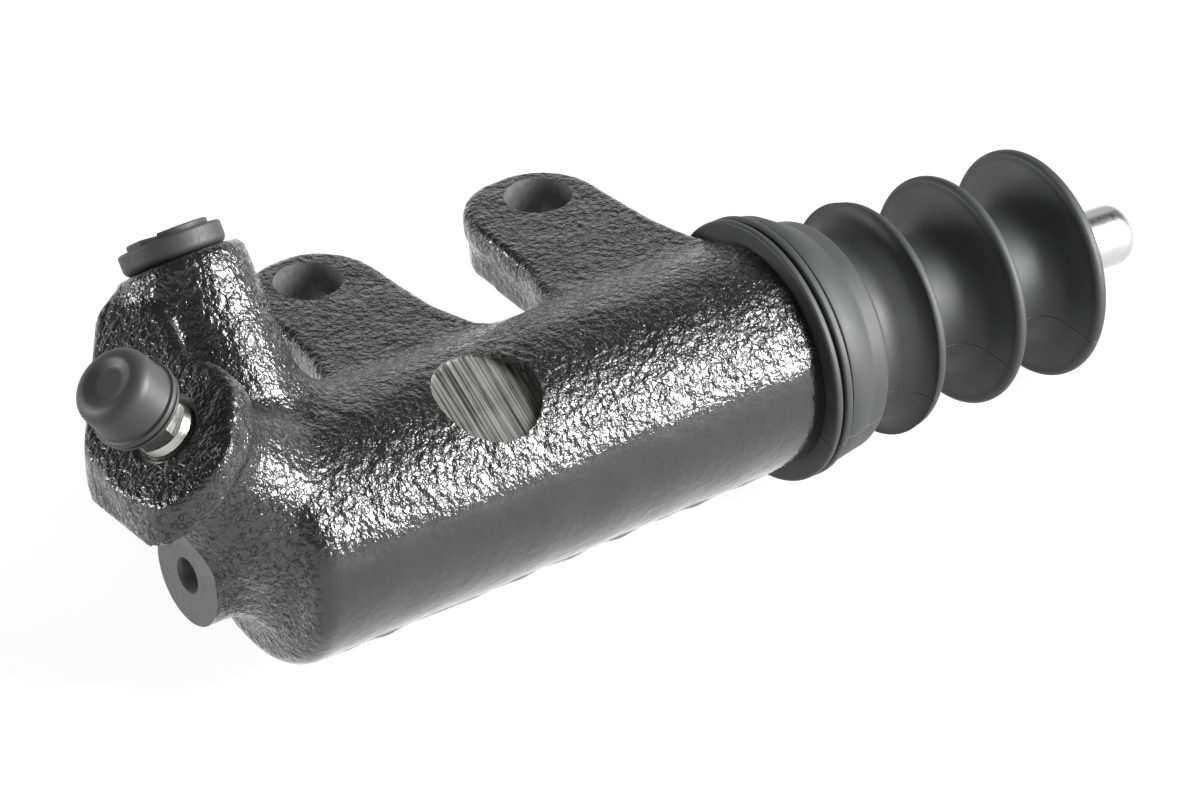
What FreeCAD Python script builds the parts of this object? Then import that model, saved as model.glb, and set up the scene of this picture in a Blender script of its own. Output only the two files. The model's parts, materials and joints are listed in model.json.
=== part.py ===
import FreeCAD, Part
import math
import os

# Clutch slave cylinder: a cast iron cylinder with two fixing ears, a hydraulic inlet
# tower and a bleed screw at its closed end, and a piston that pushes a rod out of a
# bellows boot at its open end.
# All sizes are in millimetres.
# +X runs along the bore from the closed end to the push rod, +Z is square to the
# mounting face of the ears, and +Y points from the bore to the ears.
# The origin is midway between the two fixing holes, on the mounting face.

# Fixing ears
bolt_spacing = 36.0
bolt_hole_dia = 9.0
bolt_offset = 31.3
axis_drop = 4.1
ear_thickness = 9.0
ear_width_a = 17.4
ear_width_b = 18.6
ear_b_shift = -1.7
ear_end = 7.2
ear_end_flat = 0.2
ear_flare = 1.0
ear_root_spread = 2.7
ear_root_round = 9.0
ear_edge_round = 1.0
ear_top_blend = 10.0
ear_under_blend = 4.0
mould_step_depth = 3.4
mould_shift = 0.8
pad_height = 0.8
pad_margin = 3.1

# Barrel and bore
bore_dia = 20.64
bore_bottom_wall = 3.5
mouth_reach = 34.0
barrel_length = 82.0
barrel_wall = 4.78
barrel_taper = 0.7
head_edge_round = 3.0
mouth_chamfer = 0.8
chucking_dia = 13.4
chucking_length = 9.0
chucking_flare = 6.0
chucking_edge = 0.5
centre_hole_dia = 3.8
centre_hole_depth = 4.5
centre_hole_flare = 0.4

# Inlet tower
port_setback = 5.3
port_tilt = 37.0
port_reach = 36.6
port_dia = 17.1
port_draft = 1.2
port_root_round = 6.0
port_edge_round = 1.3
port_thread_dia = 11.0
port_thread_depth = 11.0
port_thread_chamfer = 0.5
feed_dia = 3.2

# Bleed boss on the closed end, with its outline's corners as shares of the boss radius
bleed_setback = 6.1
bleed_tilt = 38.0
bleed_reach = 27.9
bleed_boss_dia = 20.0
bleed_neck_dia = 17.6
bleed_neck_flare = 2.6
lug_depth = 6.2
lug_nose_reach = 6.8
lug_rim_reach = 7.2
lug_near_margin = 2.4
lug_far_margin = 0.9
lug_back_share = 0.82
lug_nose_share = 0.96
lug_rim_near_share = 0.45
lug_rim_far_share = 0.35
lug_shoulder_width = 3.8
lug_shoulder_round = 3.0
lug_back_round = 8.0
lug_nose_round = 6.0
lug_rim_round = 4.5
lug_edge_round = 0.8
bleed_thread_dia = 8.0
bleed_thread_depth = 12.5
bleed_recess_dia = 9.8
bleed_recess_depth = 0.9

# Milled spot on the barrel shoulder
spot_dia = 14.2
spot_tilt = 23.0
spot_depth = 1.8
spot_x = -16.0

# Piston, seals and spring
piston_length = 26.0
piston_clearance = 0.05
piston_chamfer = 0.6
seal_groove_width = 4.2
seal_groove_depth = 3.0
seal_groove_from_back = 9.0
seal_clearance = 0.06
cup_length = 6.5
cup_lip_wall = 1.1
cup_root_wall = 2.6
cup_floor = 2.6
cup_corner_round = 0.8
seal_edge_round = 0.3
seal_edge_relief = 0.5
seal_notch_depth = 1.6
expander_length = 3.2
expander_sheet = 1.0
expander_hub_height = 2.4
expander_hub_clearance = 0.2
spring_wire = 1.4
spring_turns = 7
spring_bore_clearance = 1.0
spring_top_dia = 12.4
ring_wire = 1.6
ring_from_mouth = 2.5
ring_gap_angle = 40.0
seat_clearance = 0.08

# Push rod
rod_dia = 8.2
rod_past_groove = 12.1
rod_droop = 2.8
rod_tip_round = 2.2
ball_inset = 18.5
rod_groove_dia = 7.0
rod_groove_inset = 0.6
rod_groove_gap = 0.4
rod_swing_cone = 7.0

# Dust boot, with lengths that follow one another from the barrel's collar to the rod
boot_grip = 4.5
boot_wall = 1.3
boot_fit = 0.1
boot_seat_step = 0.6
boot_bead_depth = 1.2
boot_bead_width = 1.8
boot_hub_wall = 2.5
boot_rib_height = 0.7
boot_rib_width = 1.2
boot_rib_gap = 0.4
boot_skirt_length = 3.0
boot_bend_step = 1.1
boot_shoulder_length = 2.8
boot_shoulder_step = 0.5
boot_shoulder_round = 0.9
boot_neck_drop = 2.3
boot_neck_dia = 24.0
boot_neck_width = 2.6
boot_neck_round = 1.6
boot_crest_dia = 31.0
boot_crest_width = 1.7
boot_crest_depth = 1.2
boot_valley_dia = 17.0
boot_valley_round = 4.0
boot_flank_lean = 1.8
boot_first_flank = 6.4
boot_pitch = 13.35
boot_crests = 3
boot_last_flank = 3.9
boot_nose_dia = 12.6
boot_nose_length = 3.6
boot_nose_round = 0.8

# Bleed screw and its cap
screw_hex = 7.0
screw_hex_height = 4.6
screw_hex_bevel = 0.5
screw_collar_height = 1.0
screw_nipple_dia = 6.0
screw_nipple_neck_dia = 4.6
screw_nipple_length = 4.2
screw_neck_length = 1.7
screw_bore_dia = 2.0
screw_cross_hole_dia = 1.6
cap_dia = 11.2
cap_lip_dia = 12.3
cap_front_wall = 1.45
cap_overlap = 2.0
cap_lip_width = 1.3
cap_front_round = 3.0
cap_dimple_dia = 5.0
cap_dimple_depth = 0.4
cap_clearance = 0.15
moulded_edge_round = 0.4

# Transport plug in the inlet
plug_head_dia = 13.5
plug_head_thickness = 3.0
plug_head_round = 1.1
plug_stem_length = 8.5
plug_stem_clearance = 0.12
plug_wall = 1.6
plug_raise_dia = 10.6
plug_raise_height = 0.8
plug_slot_width = 2.6

# Gap between faces that meet, and how far a cut runs past the face that it opens
face_gap = 0.05
cut_past = 1.0

# Places that follow from the sizes above
X = FreeCAD.Vector(1, 0, 0)
Y = FreeCAD.Vector(0, 1, 0)
Z = FreeCAD.Vector(0, 0, 1)
ZERO = FreeCAD.Vector(0, 0, 0)
BORE_AXIS = FreeCAD.Vector(0, -bolt_offset, -axis_drop)
bore_r = bore_dia / 2
barrel_dia_mouth = bore_dia + 2 * barrel_wall
barrel_dia_head = barrel_dia_mouth + 2 * barrel_taper
end_x = mouth_reach - barrel_length
bore_bottom_x = end_x + bore_bottom_wall
collar_x = mouth_reach - boot_grip
ball_x = mouth_reach - ball_inset
ear_top_z = axis_drop + ear_thickness
port_x = end_x + port_setback
bleed_x = end_x + bleed_setback
ring_x = mouth_reach - ring_from_mouth
piston_back_x = ring_x - ring_wire / 2 - face_gap
piston_front_x = piston_back_x - piston_length
cup_front_x = piston_front_x - cup_length
cup_inner_r = bore_r - seal_clearance - cup_root_wall
cup_floor_x = piston_front_x - face_gap - cup_floor
expander_x = cup_floor_x - face_gap - expander_length
hex_start = screw_collar_height
hex_end = hex_start + screw_hex_height
hex_corner_r = screw_hex / 2 / math.cos(math.radians(30))
screw_tip = hex_end + screw_nipple_length
boot_seat_dia = barrel_dia_mouth - 2 * boot_seat_step
boot_skirt_dia = boot_seat_dia + 2 * boot_hub_wall
boot_bend_dia = boot_skirt_dia - 2 * boot_bend_step
boot_shoulder_dia = boot_bend_dia - 2 * boot_shoulder_step
boot_from_ball = collar_x - ball_x
boot_bend_x = boot_grip + boot_skirt_length
boot_shoulder_x = boot_bend_x + boot_shoulder_length
boot_neck_x = boot_shoulder_x + boot_neck_drop
boot_first_crest_x = boot_neck_x + boot_first_flank
boot_nose_x = boot_first_crest_x + (boot_crests - 1) * boot_pitch + boot_last_flank
rod_groove_from_ball = boot_from_ball + boot_nose_x
rod_length = rod_groove_from_ball + rod_past_groove


def sin(degrees):
    return math.sin(math.radians(degrees))


def cos(degrees):
    return math.cos(math.radians(degrees))


def tan(degrees):
    return math.tan(math.radians(degrees))


def rounded(corners, closed=True):
    """Edges in the XY plane through (x, y, radius) corners, each corner cut by an arc."""
    count = len(corners)
    starts = []
    ends = []
    middles = []
    for i, (x, y, radius) in enumerate(corners):
        here = FreeCAD.Vector(x, y, 0)
        if radius == 0 or (not closed and i in (0, count - 1)):
            starts.append(here)
            ends.append(here)
            middles.append(None)
            continue
        back = FreeCAD.Vector(corners[i - 1][0], corners[i - 1][1], 0) - here
        ahead = FreeCAD.Vector(corners[(i + 1) % count][0], corners[(i + 1) % count][1], 0) - here
        back.normalize()
        ahead.normalize()
        half = back.getAngle(ahead) / 2
        cut = radius / math.tan(half)
        inward = back + ahead
        inward.normalize()
        centre = here + inward * (radius / math.sin(half))
        starts.append(here + back * cut)
        ends.append(here + ahead * cut)
        middles.append(centre - inward * radius)
    edges = []
    for i in range(count):
        if middles[i] is not None:
            edges.append(Part.Arc(starts[i], middles[i], ends[i]).toShape())
        last = i == count - 1
        if last and not closed:
            continue
        following = starts[(i + 1) % count]
        if (following - ends[i]).Length > 1e-7:
            edges.append(Part.LineSegment(ends[i], following).toShape())
    return edges


def face_of(corners):
    return Part.Face(Part.Wire(rounded(corners)))


def turned(corners):
    """Solid of revolution about the X axis, from (x, radius, corner radius) points."""
    return face_of(corners).revolve(ZERO, X, 360)


def lying_along(direction, start):
    """Placement that takes the X axis to a direction and the origin to a start point."""
    return FreeCAD.Placement(start, FreeCAD.Rotation(X, direction))


def placed(shape, placement):
    moved = shape.copy()
    moved.Placement = placement.multiply(moved.Placement)
    return moved


def rod_of(diameter, start, direction, length):
    return Part.makeCylinder(diameter / 2, length, start, direction)


def fused(shapes):
    return shapes[0].multiFuse(shapes[1:]).removeSplitter()


port_axis = FreeCAD.Vector(0, sin(port_tilt), cos(port_tilt))
port_root = FreeCAD.Vector(port_x, 0, 0)
port_face = port_root + port_axis * port_reach
bleed_axis = FreeCAD.Vector(-sin(bleed_tilt), 0, cos(bleed_tilt))
bleed_root = FreeCAD.Vector(bleed_x, 0, 0)
bleed_face = bleed_root + bleed_axis * bleed_reach
rod_axis = FreeCAD.Vector(cos(rod_droop), 0, -sin(rod_droop))
ball_centre = FreeCAD.Vector(ball_x, 0, 0)


# The cylinder casting, drawn about the bore axis


def barrel():
    """Tapered barrel with its chucking boss at the closed end."""
    head_r = barrel_dia_head / 2
    mouth_r = barrel_dia_mouth / 2
    chuck_r = chucking_dia / 2
    return turned(
        [
            (end_x - chucking_length, 0, 0),
            (end_x - chucking_length, chuck_r, chucking_edge),
            (end_x, chuck_r, chucking_flare),
            (end_x, head_r, head_edge_round),
            (mouth_reach, mouth_r, 0),
            (mouth_reach, 0, 0),
        ]
    )


def ear_outline(hole_x, centre_shift, width):
    """Plan of one ear: a round end, sides that widen to the barrel, and round roots."""
    root_y = barrel_dia_mouth / 4 - bolt_offset
    waist_y = -bolt_offset + barrel_dia_mouth / 2 + ear_root_spread
    half = width / 2
    middle = hole_x + centre_shift
    wide = half + ear_flare
    end_round = half - ear_end_flat / 2
    return [
        (middle - wide - ear_root_spread, root_y, 0),
        (middle - wide, waist_y, ear_root_round),
        (middle - half, ear_end, end_round),
        (middle + half, ear_end, end_round),
        (middle + wide, waist_y, ear_root_round),
        (middle + wide + ear_root_spread, root_y, 0),
    ]


def ear(hole_x, centre_shift, width):
    """One ear in two mould halves, blended into the barrel above and below."""
    outline = face_of(ear_outline(hole_x, centre_shift, width))
    split_z = ear_thickness - mould_step_depth
    upper = outline.extrude(Z * mould_step_depth)
    upper.translate(Z * split_z)
    rim = [e for e in upper.Edges if min(v.Z for v in e.Vertexes) > ear_thickness - 1e-6]
    upper = upper.makeFillet(ear_edge_round, rim)
    lower = outline.extrude(Z * (split_z - pad_height))
    lower.translate(Z * pad_height + X * mould_shift)
    column = outline.extrude(Z * (4 * ear_thickness))
    column.translate(-Z * ear_thickness * 2)
    blends = ear_blends(outline.BoundBox.XMin, outline.BoundBox.XLength).common(column)
    pad = Part.makeCylinder(
        bolt_hole_dia / 2 + pad_margin, ear_thickness / 2, FreeCAD.Vector(hole_x, 0, 0)
    )
    return fused([upper, lower, blends, pad])


def ear_blends(from_x, length):
    """Concave blends between the ear's cast faces and the round barrel, run along X."""
    radius = barrel_dia_mouth / 2
    above = blend_section(radius, ear_top_z, ear_top_blend, 1)
    below = blend_section(radius, axis_drop + pad_height, ear_under_blend, -1)
    solids = []
    for section in (above, below):
        section.translate(BORE_AXIS + X * from_x)
        solids.append(section.extrude(X * length))
    return fused(solids)


def blend_section(radius, height, blend, side):
    """Face in the YZ plane between a level line, the barrel circle and a tangent arc."""
    reach = radius + blend
    centre_z = height + side * blend
    centre_y = math.sqrt(reach * reach - centre_z * centre_z)
    on_line = FreeCAD.Vector(0, centre_y, height)
    on_barrel = FreeCAD.Vector(0, centre_y, centre_z) * (radius / reach)
    toward = (on_line + on_barrel) * 0.5 - FreeCAD.Vector(0, centre_y, centre_z)
    toward.normalize()
    middle = FreeCAD.Vector(0, centre_y, centre_z) + toward * blend
    inner = FreeCAD.Vector(0, 0, height * 0.5)
    edges = [
        Part.Arc(on_line, middle, on_barrel).toShape(),
        Part.LineSegment(on_barrel, inner).toShape(),
        Part.LineSegment(inner, FreeCAD.Vector(0, centre_y, height * 0.5)).toShape(),
        Part.LineSegment(FreeCAD.Vector(0, centre_y, height * 0.5), on_line).toShape(),
    ]
    return Part.Face(Part.Wire(edges))


def tower():
    """Inlet tower: a drafted round post that stands on the bore axis."""
    top_r = port_dia / 2
    root_r = top_r + port_reach * tan(port_draft)
    post = turned(
        [
            (0, 0, 0),
            (0, root_r, 0),
            (port_reach, top_r, port_edge_round),
            (port_reach, 0, 0),
        ]
    )
    return placed(post, lying_along(port_axis, port_root))


def barrel_with_tower():
    """Barrel and tower with the cast round where they meet."""
    both = fused([barrel(), tower()])
    seam = [e for e in both.Edges if not isinstance(e.Curve, (Part.Circle, Part.Line))]
    return both.makeFillet(port_root_round, seam)


def lug_outline():
    """Plan of the bleed lug, from the tower's far side round the screw and back."""
    boss_r = bleed_boss_dia / 2
    nose_x = bleed_face.x - lug_nose_reach
    rim_x = bleed_face.x + lug_rim_reach
    far_y = port_face.y + lug_far_margin
    inside_x = port_x - port_dia / 2 + lug_edge_round
    return [
        (inside_x, far_y, 0),
        (inside_x - lug_shoulder_width, far_y, lug_shoulder_round),
        (nose_x, boss_r * lug_back_share, lug_back_round),
        (nose_x, -boss_r * lug_nose_share, lug_nose_round),
        (rim_x - lug_rim_round, -boss_r - lug_near_margin, lug_rim_round),
        (rim_x, -boss_r * lug_rim_near_share, lug_rim_round),
        (rim_x, boss_r * lug_rim_far_share, lug_rim_round),
        (inside_x + lug_edge_round, boss_r + lug_near_margin, 0),
    ]


def bleed_lug():
    """Upright-walled lug on the closed end, cut off square to the bleed screw."""
    tall = port_reach * 2
    column = face_of(lug_outline()).extrude(Z * tall)
    column.translate(-Z * tall / 4)
    slab_depth = lug_depth * cos(bleed_tilt)
    slab = Part.makeBox(slab_depth, tall * 2, tall * 2, FreeCAD.Vector(-slab_depth, -tall, -tall))
    slab = placed(slab, lying_along(bleed_axis, bleed_face))
    lug = column.common(slab)
    rim = [e for e in lug.Edges if on_bleed_face(e)]
    above = Part.makeBox(tall, tall * 2, tall * 2, FreeCAD.Vector(0, -tall, -tall))
    return lug.makeFillet(lug_edge_round, rim).cut(placed(above, lying_along(port_axis, port_face)))


def on_bleed_face(edge):
    return all(abs((v.Point - bleed_face).dot(bleed_axis)) < 1e-6 for v in edge.Vertexes)


def bleed_neck():
    """Round neck that carries the lug from the closed end of the barrel."""
    neck_r = bleed_neck_dia / 2
    neck = turned(
        [
            (0, 0, 0),
            (0, neck_r + bleed_neck_flare, 0),
            (bore_r, neck_r + bleed_neck_flare, bore_r / 2),
            (bleed_reach - lug_depth * 1.5, neck_r, lug_depth / 2),
            (bleed_reach - lug_depth / 2, neck_r, 0),
            (bleed_reach - lug_depth / 2, 0, 0),
        ]
    )
    return placed(neck, lying_along(bleed_axis, bleed_root))


def bore_cut():
    """Bore with its mouth chamfer and the groove for the stop ring."""
    groove_r = bore_r + ring_wire / 2
    groove_half = ring_wire / 2 + face_gap
    return turned(
        [
            (bore_bottom_x, 0, 0),
            (bore_bottom_x, bore_r, 0),
            (ring_x - groove_half, bore_r, 0),
            (ring_x - groove_half, groove_r, 0),
            (ring_x + groove_half, groove_r, 0),
            (ring_x + groove_half, bore_r, 0),
            (mouth_reach - mouth_chamfer, bore_r, 0),
            (mouth_reach, bore_r + mouth_chamfer, 0),
            (mouth_reach + cut_past, bore_r + mouth_chamfer, 0),
            (mouth_reach + cut_past, 0, 0),
        ]
    )


def seat_cut():
    """What is turned off at the mouth to seat the boot, with a groove for its bead."""
    seat_r = boot_seat_dia / 2
    bead_r = seat_r - boot_bead_depth
    bead_start = collar_x + boot_grip / 2 - boot_bead_width / 2
    bead_end = bead_start + boot_bead_width
    return turned(
        [
            (collar_x, seat_r, 0),
            (bead_start, seat_r, 0),
            (bead_start, bead_r, 0),
            (bead_end, bead_r, 0),
            (bead_end, seat_r, 0),
            (mouth_reach - mouth_chamfer, seat_r, 0),
            (mouth_reach, seat_r - mouth_chamfer, 0),
            (mouth_reach + cut_past, seat_r - mouth_chamfer, 0),
            (mouth_reach + cut_past, seat_r * 2, 0),
            (collar_x, seat_r * 2, 0),
        ]
    )


def port_cut():
    """Threaded inlet, its cone seat and the feed drilling into the bore."""
    thread_r = port_thread_dia / 2
    seat_x = port_reach - port_thread_depth
    cut = turned(
        [
            (0, 0, 0),
            (0, feed_dia / 2, 0),
            (seat_x - thread_r + feed_dia / 2, feed_dia / 2, 0),
            (seat_x, thread_r, 0),
            (port_reach - port_thread_chamfer, thread_r, 0),
            (port_reach, thread_r + port_thread_chamfer, 0),
            (port_reach + cut_past, thread_r + port_thread_chamfer, 0),
            (port_reach + cut_past, 0, 0),
        ]
    )
    return placed(cut, lying_along(port_axis, port_root))


def bleed_cut():
    """Recess, thread, cone seat and drilling for the bleed screw."""
    thread_r = bleed_thread_dia / 2 + face_gap
    seat_x = bleed_reach - bleed_thread_depth
    cut = turned(
        [
            (0, 0, 0),
            (0, feed_dia / 2, 0),
            (seat_x - thread_r + feed_dia / 2, feed_dia / 2, 0),
            (seat_x, thread_r, 0),
            (bleed_reach - bleed_recess_depth, thread_r, 0),
            (bleed_reach - bleed_recess_depth, bleed_recess_dia / 2, 0),
            (bleed_reach + cut_past, bleed_recess_dia / 2, 0),
            (bleed_reach + cut_past, 0, 0),
        ]
    )
    return placed(cut, lying_along(bleed_axis, bleed_root))


def spot_cut():
    """Round milled spot on the barrel shoulder."""
    direction = FreeCAD.Vector(0, -sin(spot_tilt), cos(spot_tilt))
    floor = barrel_dia_mouth / 2 - spot_depth
    start = FreeCAD.Vector(spot_x, 0, 0) + direction * floor
    return rod_of(spot_dia, start, direction, barrel_dia_mouth)


def cylinder_body():
    ears = []
    for side, shift, width in ((-1, 0, ear_width_a), (1, ear_b_shift, ear_width_b)):
        ears.append(ear(side * bolt_spacing / 2, shift, width))
    casting = [barrel_with_tower(), bleed_neck(), bleed_lug()]
    for solid in casting:
        solid.translate(BORE_AXIS)
    body = fused(casting + ears)
    cuts = [bore_cut(), seat_cut(), port_cut(), bleed_cut(), spot_cut(), centre_hole()]
    for cut in cuts:
        cut.translate(BORE_AXIS)
    for side in (-1, 1):
        start = FreeCAD.Vector(side * bolt_spacing / 2, 0, -ear_thickness)
        cuts.append(rod_of(bolt_hole_dia, start, Z, 3 * ear_thickness))
    return body.cut(cuts).removeSplitter()


def centre_hole():
    """Lathe centre in the chucking boss."""
    start = end_x - chucking_length
    radius = centre_hole_dia / 2
    wide = radius + centre_hole_flare
    return turned(
        [
            (start - cut_past, 0, 0),
            (start - cut_past, wide, 0),
            (start, wide, 0),
            (start + centre_hole_flare / tan(30), radius, 0),
            (start + centre_hole_depth - radius, radius, 0),
            (start + centre_hole_depth, 0, 0),
        ]
    )


# What moves in the bore


def piston():
    outer = bore_r - piston_clearance
    groove_back = piston_back_x - seal_groove_from_back
    groove_front = groove_back - seal_groove_width
    groove_r = outer - seal_groove_depth
    blank = turned(
        [
            (piston_front_x, 0, 0),
            (piston_front_x, outer - piston_chamfer, 0),
            (piston_front_x + piston_chamfer, outer, 0),
            (groove_front, outer, 0),
            (groove_front, groove_r, 0),
            (groove_back, groove_r, 0),
            (groove_back, outer, 0),
            (piston_back_x - piston_chamfer, outer, 0),
            (piston_back_x, outer - piston_chamfer, 0),
            (piston_back_x, 0, 0),
        ]
    )
    return blank.cut(rod_socket()).removeSplitter()


def rod_socket():
    """Round seat for the rod's ball, with a cone that lets the rod swing."""
    seat_r = rod_dia / 2 + seat_clearance
    bottom_x = ball_x - seat_r
    end = piston_back_x + cut_past
    slope = tan(rod_swing_cone)
    at_ball_r = seat_r / cos(rod_swing_cone)
    return turned(
        [
            (bottom_x, 0, 0),
            (bottom_x, at_ball_r - seat_r * slope, seat_r),
            (end, at_ball_r + (end - ball_x) * slope, 0),
            (end, 0, 0),
        ]
    )


def primary_cup():
    """Pressure cup: a thick floor against the piston and a lip that faces the fluid."""
    outer = bore_r - seal_clearance
    back = piston_front_x - face_gap
    return turned(
        [
            (cup_front_x, outer - cup_lip_wall, 0),
            (cup_front_x, outer, seal_edge_round),
            (back - cup_floor / 2, outer, seal_edge_round),
            (back, outer - seal_edge_relief, seal_edge_round),
            (back, 0, 0),
            (cup_floor_x, 0, 0),
            (cup_floor_x, cup_inner_r, cup_corner_round),
        ]
    )


def secondary_cup():
    """Ring seal in the piston groove, with a lip that faces the fluid."""
    outer = bore_r - seal_clearance
    inner = bore_r - piston_clearance - seal_groove_depth + face_gap
    back = piston_back_x - seal_groove_from_back - face_gap
    front = back - seal_groove_width + 2 * face_gap
    notch = (inner + outer) / 2
    return turned(
        [
            (front, inner, 0),
            (front, notch - seal_edge_relief, 0),
            (front + seal_notch_depth, notch, seal_edge_round),
            (front, notch + seal_edge_relief, 0),
            (front, outer, 0),
            (front + seal_notch_depth, outer, 0),
            (back, outer - seal_edge_relief, 0),
            (back, inner, 0),
        ]
    )


def cup_expander():
    """Pressed dish that holds the cup's lip out, with a hub that centres the spring."""
    rim_r = cup_inner_r - 2 * face_gap
    hub_r = spring_top_dia / 2 - spring_wire - expander_hub_clearance
    hub_x = expander_x - expander_hub_height
    return turned(
        [
            (hub_x, 0, 0),
            (hub_x, hub_r, seal_edge_round),
            (expander_x, hub_r, 0),
            (expander_x, rim_r, cup_corner_round),
            (expander_x + expander_length, rim_r, cup_corner_round + face_gap),
            (expander_x + expander_length, rim_r - expander_sheet, 0),
            (expander_x + expander_sheet, rim_r - expander_sheet, 0),
            (expander_x + expander_sheet, hub_r - expander_sheet, 0),
            (hub_x + expander_sheet, hub_r - expander_sheet, 0),
            (hub_x + expander_sheet, 0, 0),
        ]
    )


def return_spring():
    """Tapered coil spring: half rings of wire, each leaning on by half a turn's pitch."""
    halves = 2 * spring_turns
    first_x = bore_bottom_x + face_gap + spring_wire / 2
    last_x = expander_x - face_gap - spring_wire / 2
    half_pitch = (last_x - first_x) / (halves - 2)
    base_r = bore_r - spring_bore_clearance - spring_wire / 2
    top_r = (spring_top_dia - spring_wire) / 2
    points = []
    for k in range(halves + 1):
        along = min(max(k - 1, 0), halves - 2)
        radius = base_r + (top_r - base_r) * along / (halves - 2)
        side = 1 if k % 2 == 0 else -1
        points.append(FreeCAD.Vector(first_x + half_pitch * along, side * radius, 0))
    coil = []
    for k in range(halves):
        side = 1 if k % 2 == 0 else -1
        section = Part.Face(Part.Wire([Part.Circle(points[k], Z, spring_wire / 2).toShape()]))
        middle = (points[k] + points[k + 1]) * 0.5
        coil.append(section.revolve(middle, Z.cross(points[k + 1] - points[k]) * side, 180))
    return fused(coil)


def stop_ring():
    """Round-wire ring, open at one side, that snaps into the bore's groove."""
    ring_r = bore_r - face_gap
    centre = FreeCAD.Vector(ring_x, 0, 0)
    wire = Part.Face(
        Part.Wire([Part.Circle(centre + Y * ring_r, Z, ring_wire / 2).toShape()])
    )
    wire.rotate(centre, X, ring_gap_angle / 2)
    return wire.revolve(centre, X, 360 - ring_gap_angle)


def pushrod():
    """Push rod with a ball end in the piston and a groove that takes in the boot's nose."""
    radius = rod_dia / 2
    groove_r = rod_groove_dia / 2
    groove_start = rod_groove_from_ball - boot_nose_length / 2 + rod_groove_inset
    groove_end = rod_groove_from_ball + boot_nose_length / 2 + rod_groove_gap
    rod = turned(
        [
            (-radius, 0, 0),
            (-radius, radius, radius),
            (groove_start, radius, 0),
            (groove_start, groove_r, 0),
            (groove_end, groove_r, 0),
            (groove_end, radius, 0),
            (rod_length, radius, rod_tip_round),
            (rod_length, 0, 0),
        ]
    )
    return placed(rod, lying_along(rod_axis, ball_centre))


def boot_hub():
    """Collar of the boot on the barrel: two ribs outside and a bead in the barrel's groove."""
    seat_r = boot_seat_dia / 2 + boot_fit
    bead_r = seat_r - boot_bead_depth
    bead_x = boot_grip / 2
    bead_half = boot_bead_width / 2 - boot_fit
    rib_r = boot_skirt_dia / 2 + boot_rib_height
    groove_r = boot_skirt_dia / 2 - boot_rib_gap
    second = boot_rib_width + boot_rib_gap
    ribs_end = second + boot_rib_width
    end = boot_grip + 2 * boot_fit
    hub = turned(
        [
            (boot_fit, seat_r, 0),
            (boot_fit, rib_r, boot_rib_gap),
            (boot_rib_width, rib_r, boot_rib_gap),
            (boot_rib_width, groove_r, 0),
            (second, groove_r, 0),
            (second, rib_r, boot_rib_gap),
            (ribs_end, rib_r, boot_rib_gap),
            (ribs_end, groove_r, 0),
            (ribs_end + boot_rib_gap, groove_r, 0),
            (ribs_end + boot_rib_gap, boot_skirt_dia / 2, 0),
            (end, boot_skirt_dia / 2, 0),
            (end, seat_r, 0),
            (bead_x + bead_half, seat_r, 0),
            (bead_x + bead_half, bead_r, 0),
            (bead_x - bead_half, bead_r, 0),
            (bead_x - bead_half, seat_r, 0),
        ]
    )
    hub.translate(X * collar_x)
    return hub


def ring_wire_at(diameter, centre, axis):
    return Part.Wire([Part.Circle(centre, axis, diameter / 2).toShape()])


def boot_skirt():
    """Free wall between the hub on the bore axis and the bellows on the rod axis."""
    start = FreeCAD.Vector(collar_x + boot_grip + 2 * boot_fit, 0, 0)
    end = ball_centre + rod_axis * (boot_from_ball + boot_bend_x)
    sizes = (
        (boot_skirt_dia, boot_bend_dia),
        (boot_seat_dia + 2 * boot_fit, boot_bend_dia - 2 * boot_wall),
    )
    skins = []
    for start_dia, end_dia in sizes:
        wires = [ring_wire_at(start_dia, start, X), ring_wire_at(end_dia, end, rod_axis)]
        skins.append(Part.makeLoft(wires, True, True))
    return skins[0].cut(skins[1])


def fold_points():
    """Outer and inner corners of the folds, from the neck to the last crest."""
    crest_r = boot_crest_dia / 2
    foot_r = crest_r - boot_crest_depth
    valley_r = boot_valley_dia / 2
    half = boot_crest_width / 2
    lean = half + boot_flank_lean
    inner_foot = lean - boot_wall
    apex_r = foot_r - (boot_wall - half) / boot_flank_lean * (foot_r - valley_r)
    outer = []
    inner = []
    for i in range(boot_crests):
        crest_x = boot_first_crest_x + i * boot_pitch
        if i > 0:
            outer.append((crest_x - lean, valley_r, boot_valley_round))
            outer.append((crest_x - half, foot_r, 0))
            inner.append((crest_x - inner_foot, valley_r - boot_wall, boot_valley_round))
        else:
            outer.append((crest_x - half, foot_r, 0))
        outer.append((crest_x - half, crest_r, half * 0.9))
        outer.append((crest_x + half, crest_r, half * 0.9))
        inner.append((crest_x, apex_r, 0))
        if i < boot_crests - 1:
            outer.append((crest_x + half, foot_r, 0))
            outer.append((crest_x + lean, valley_r, boot_valley_round))
            inner.append((crest_x + inner_foot, valley_r - boot_wall, boot_valley_round))
    return outer, inner


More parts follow.
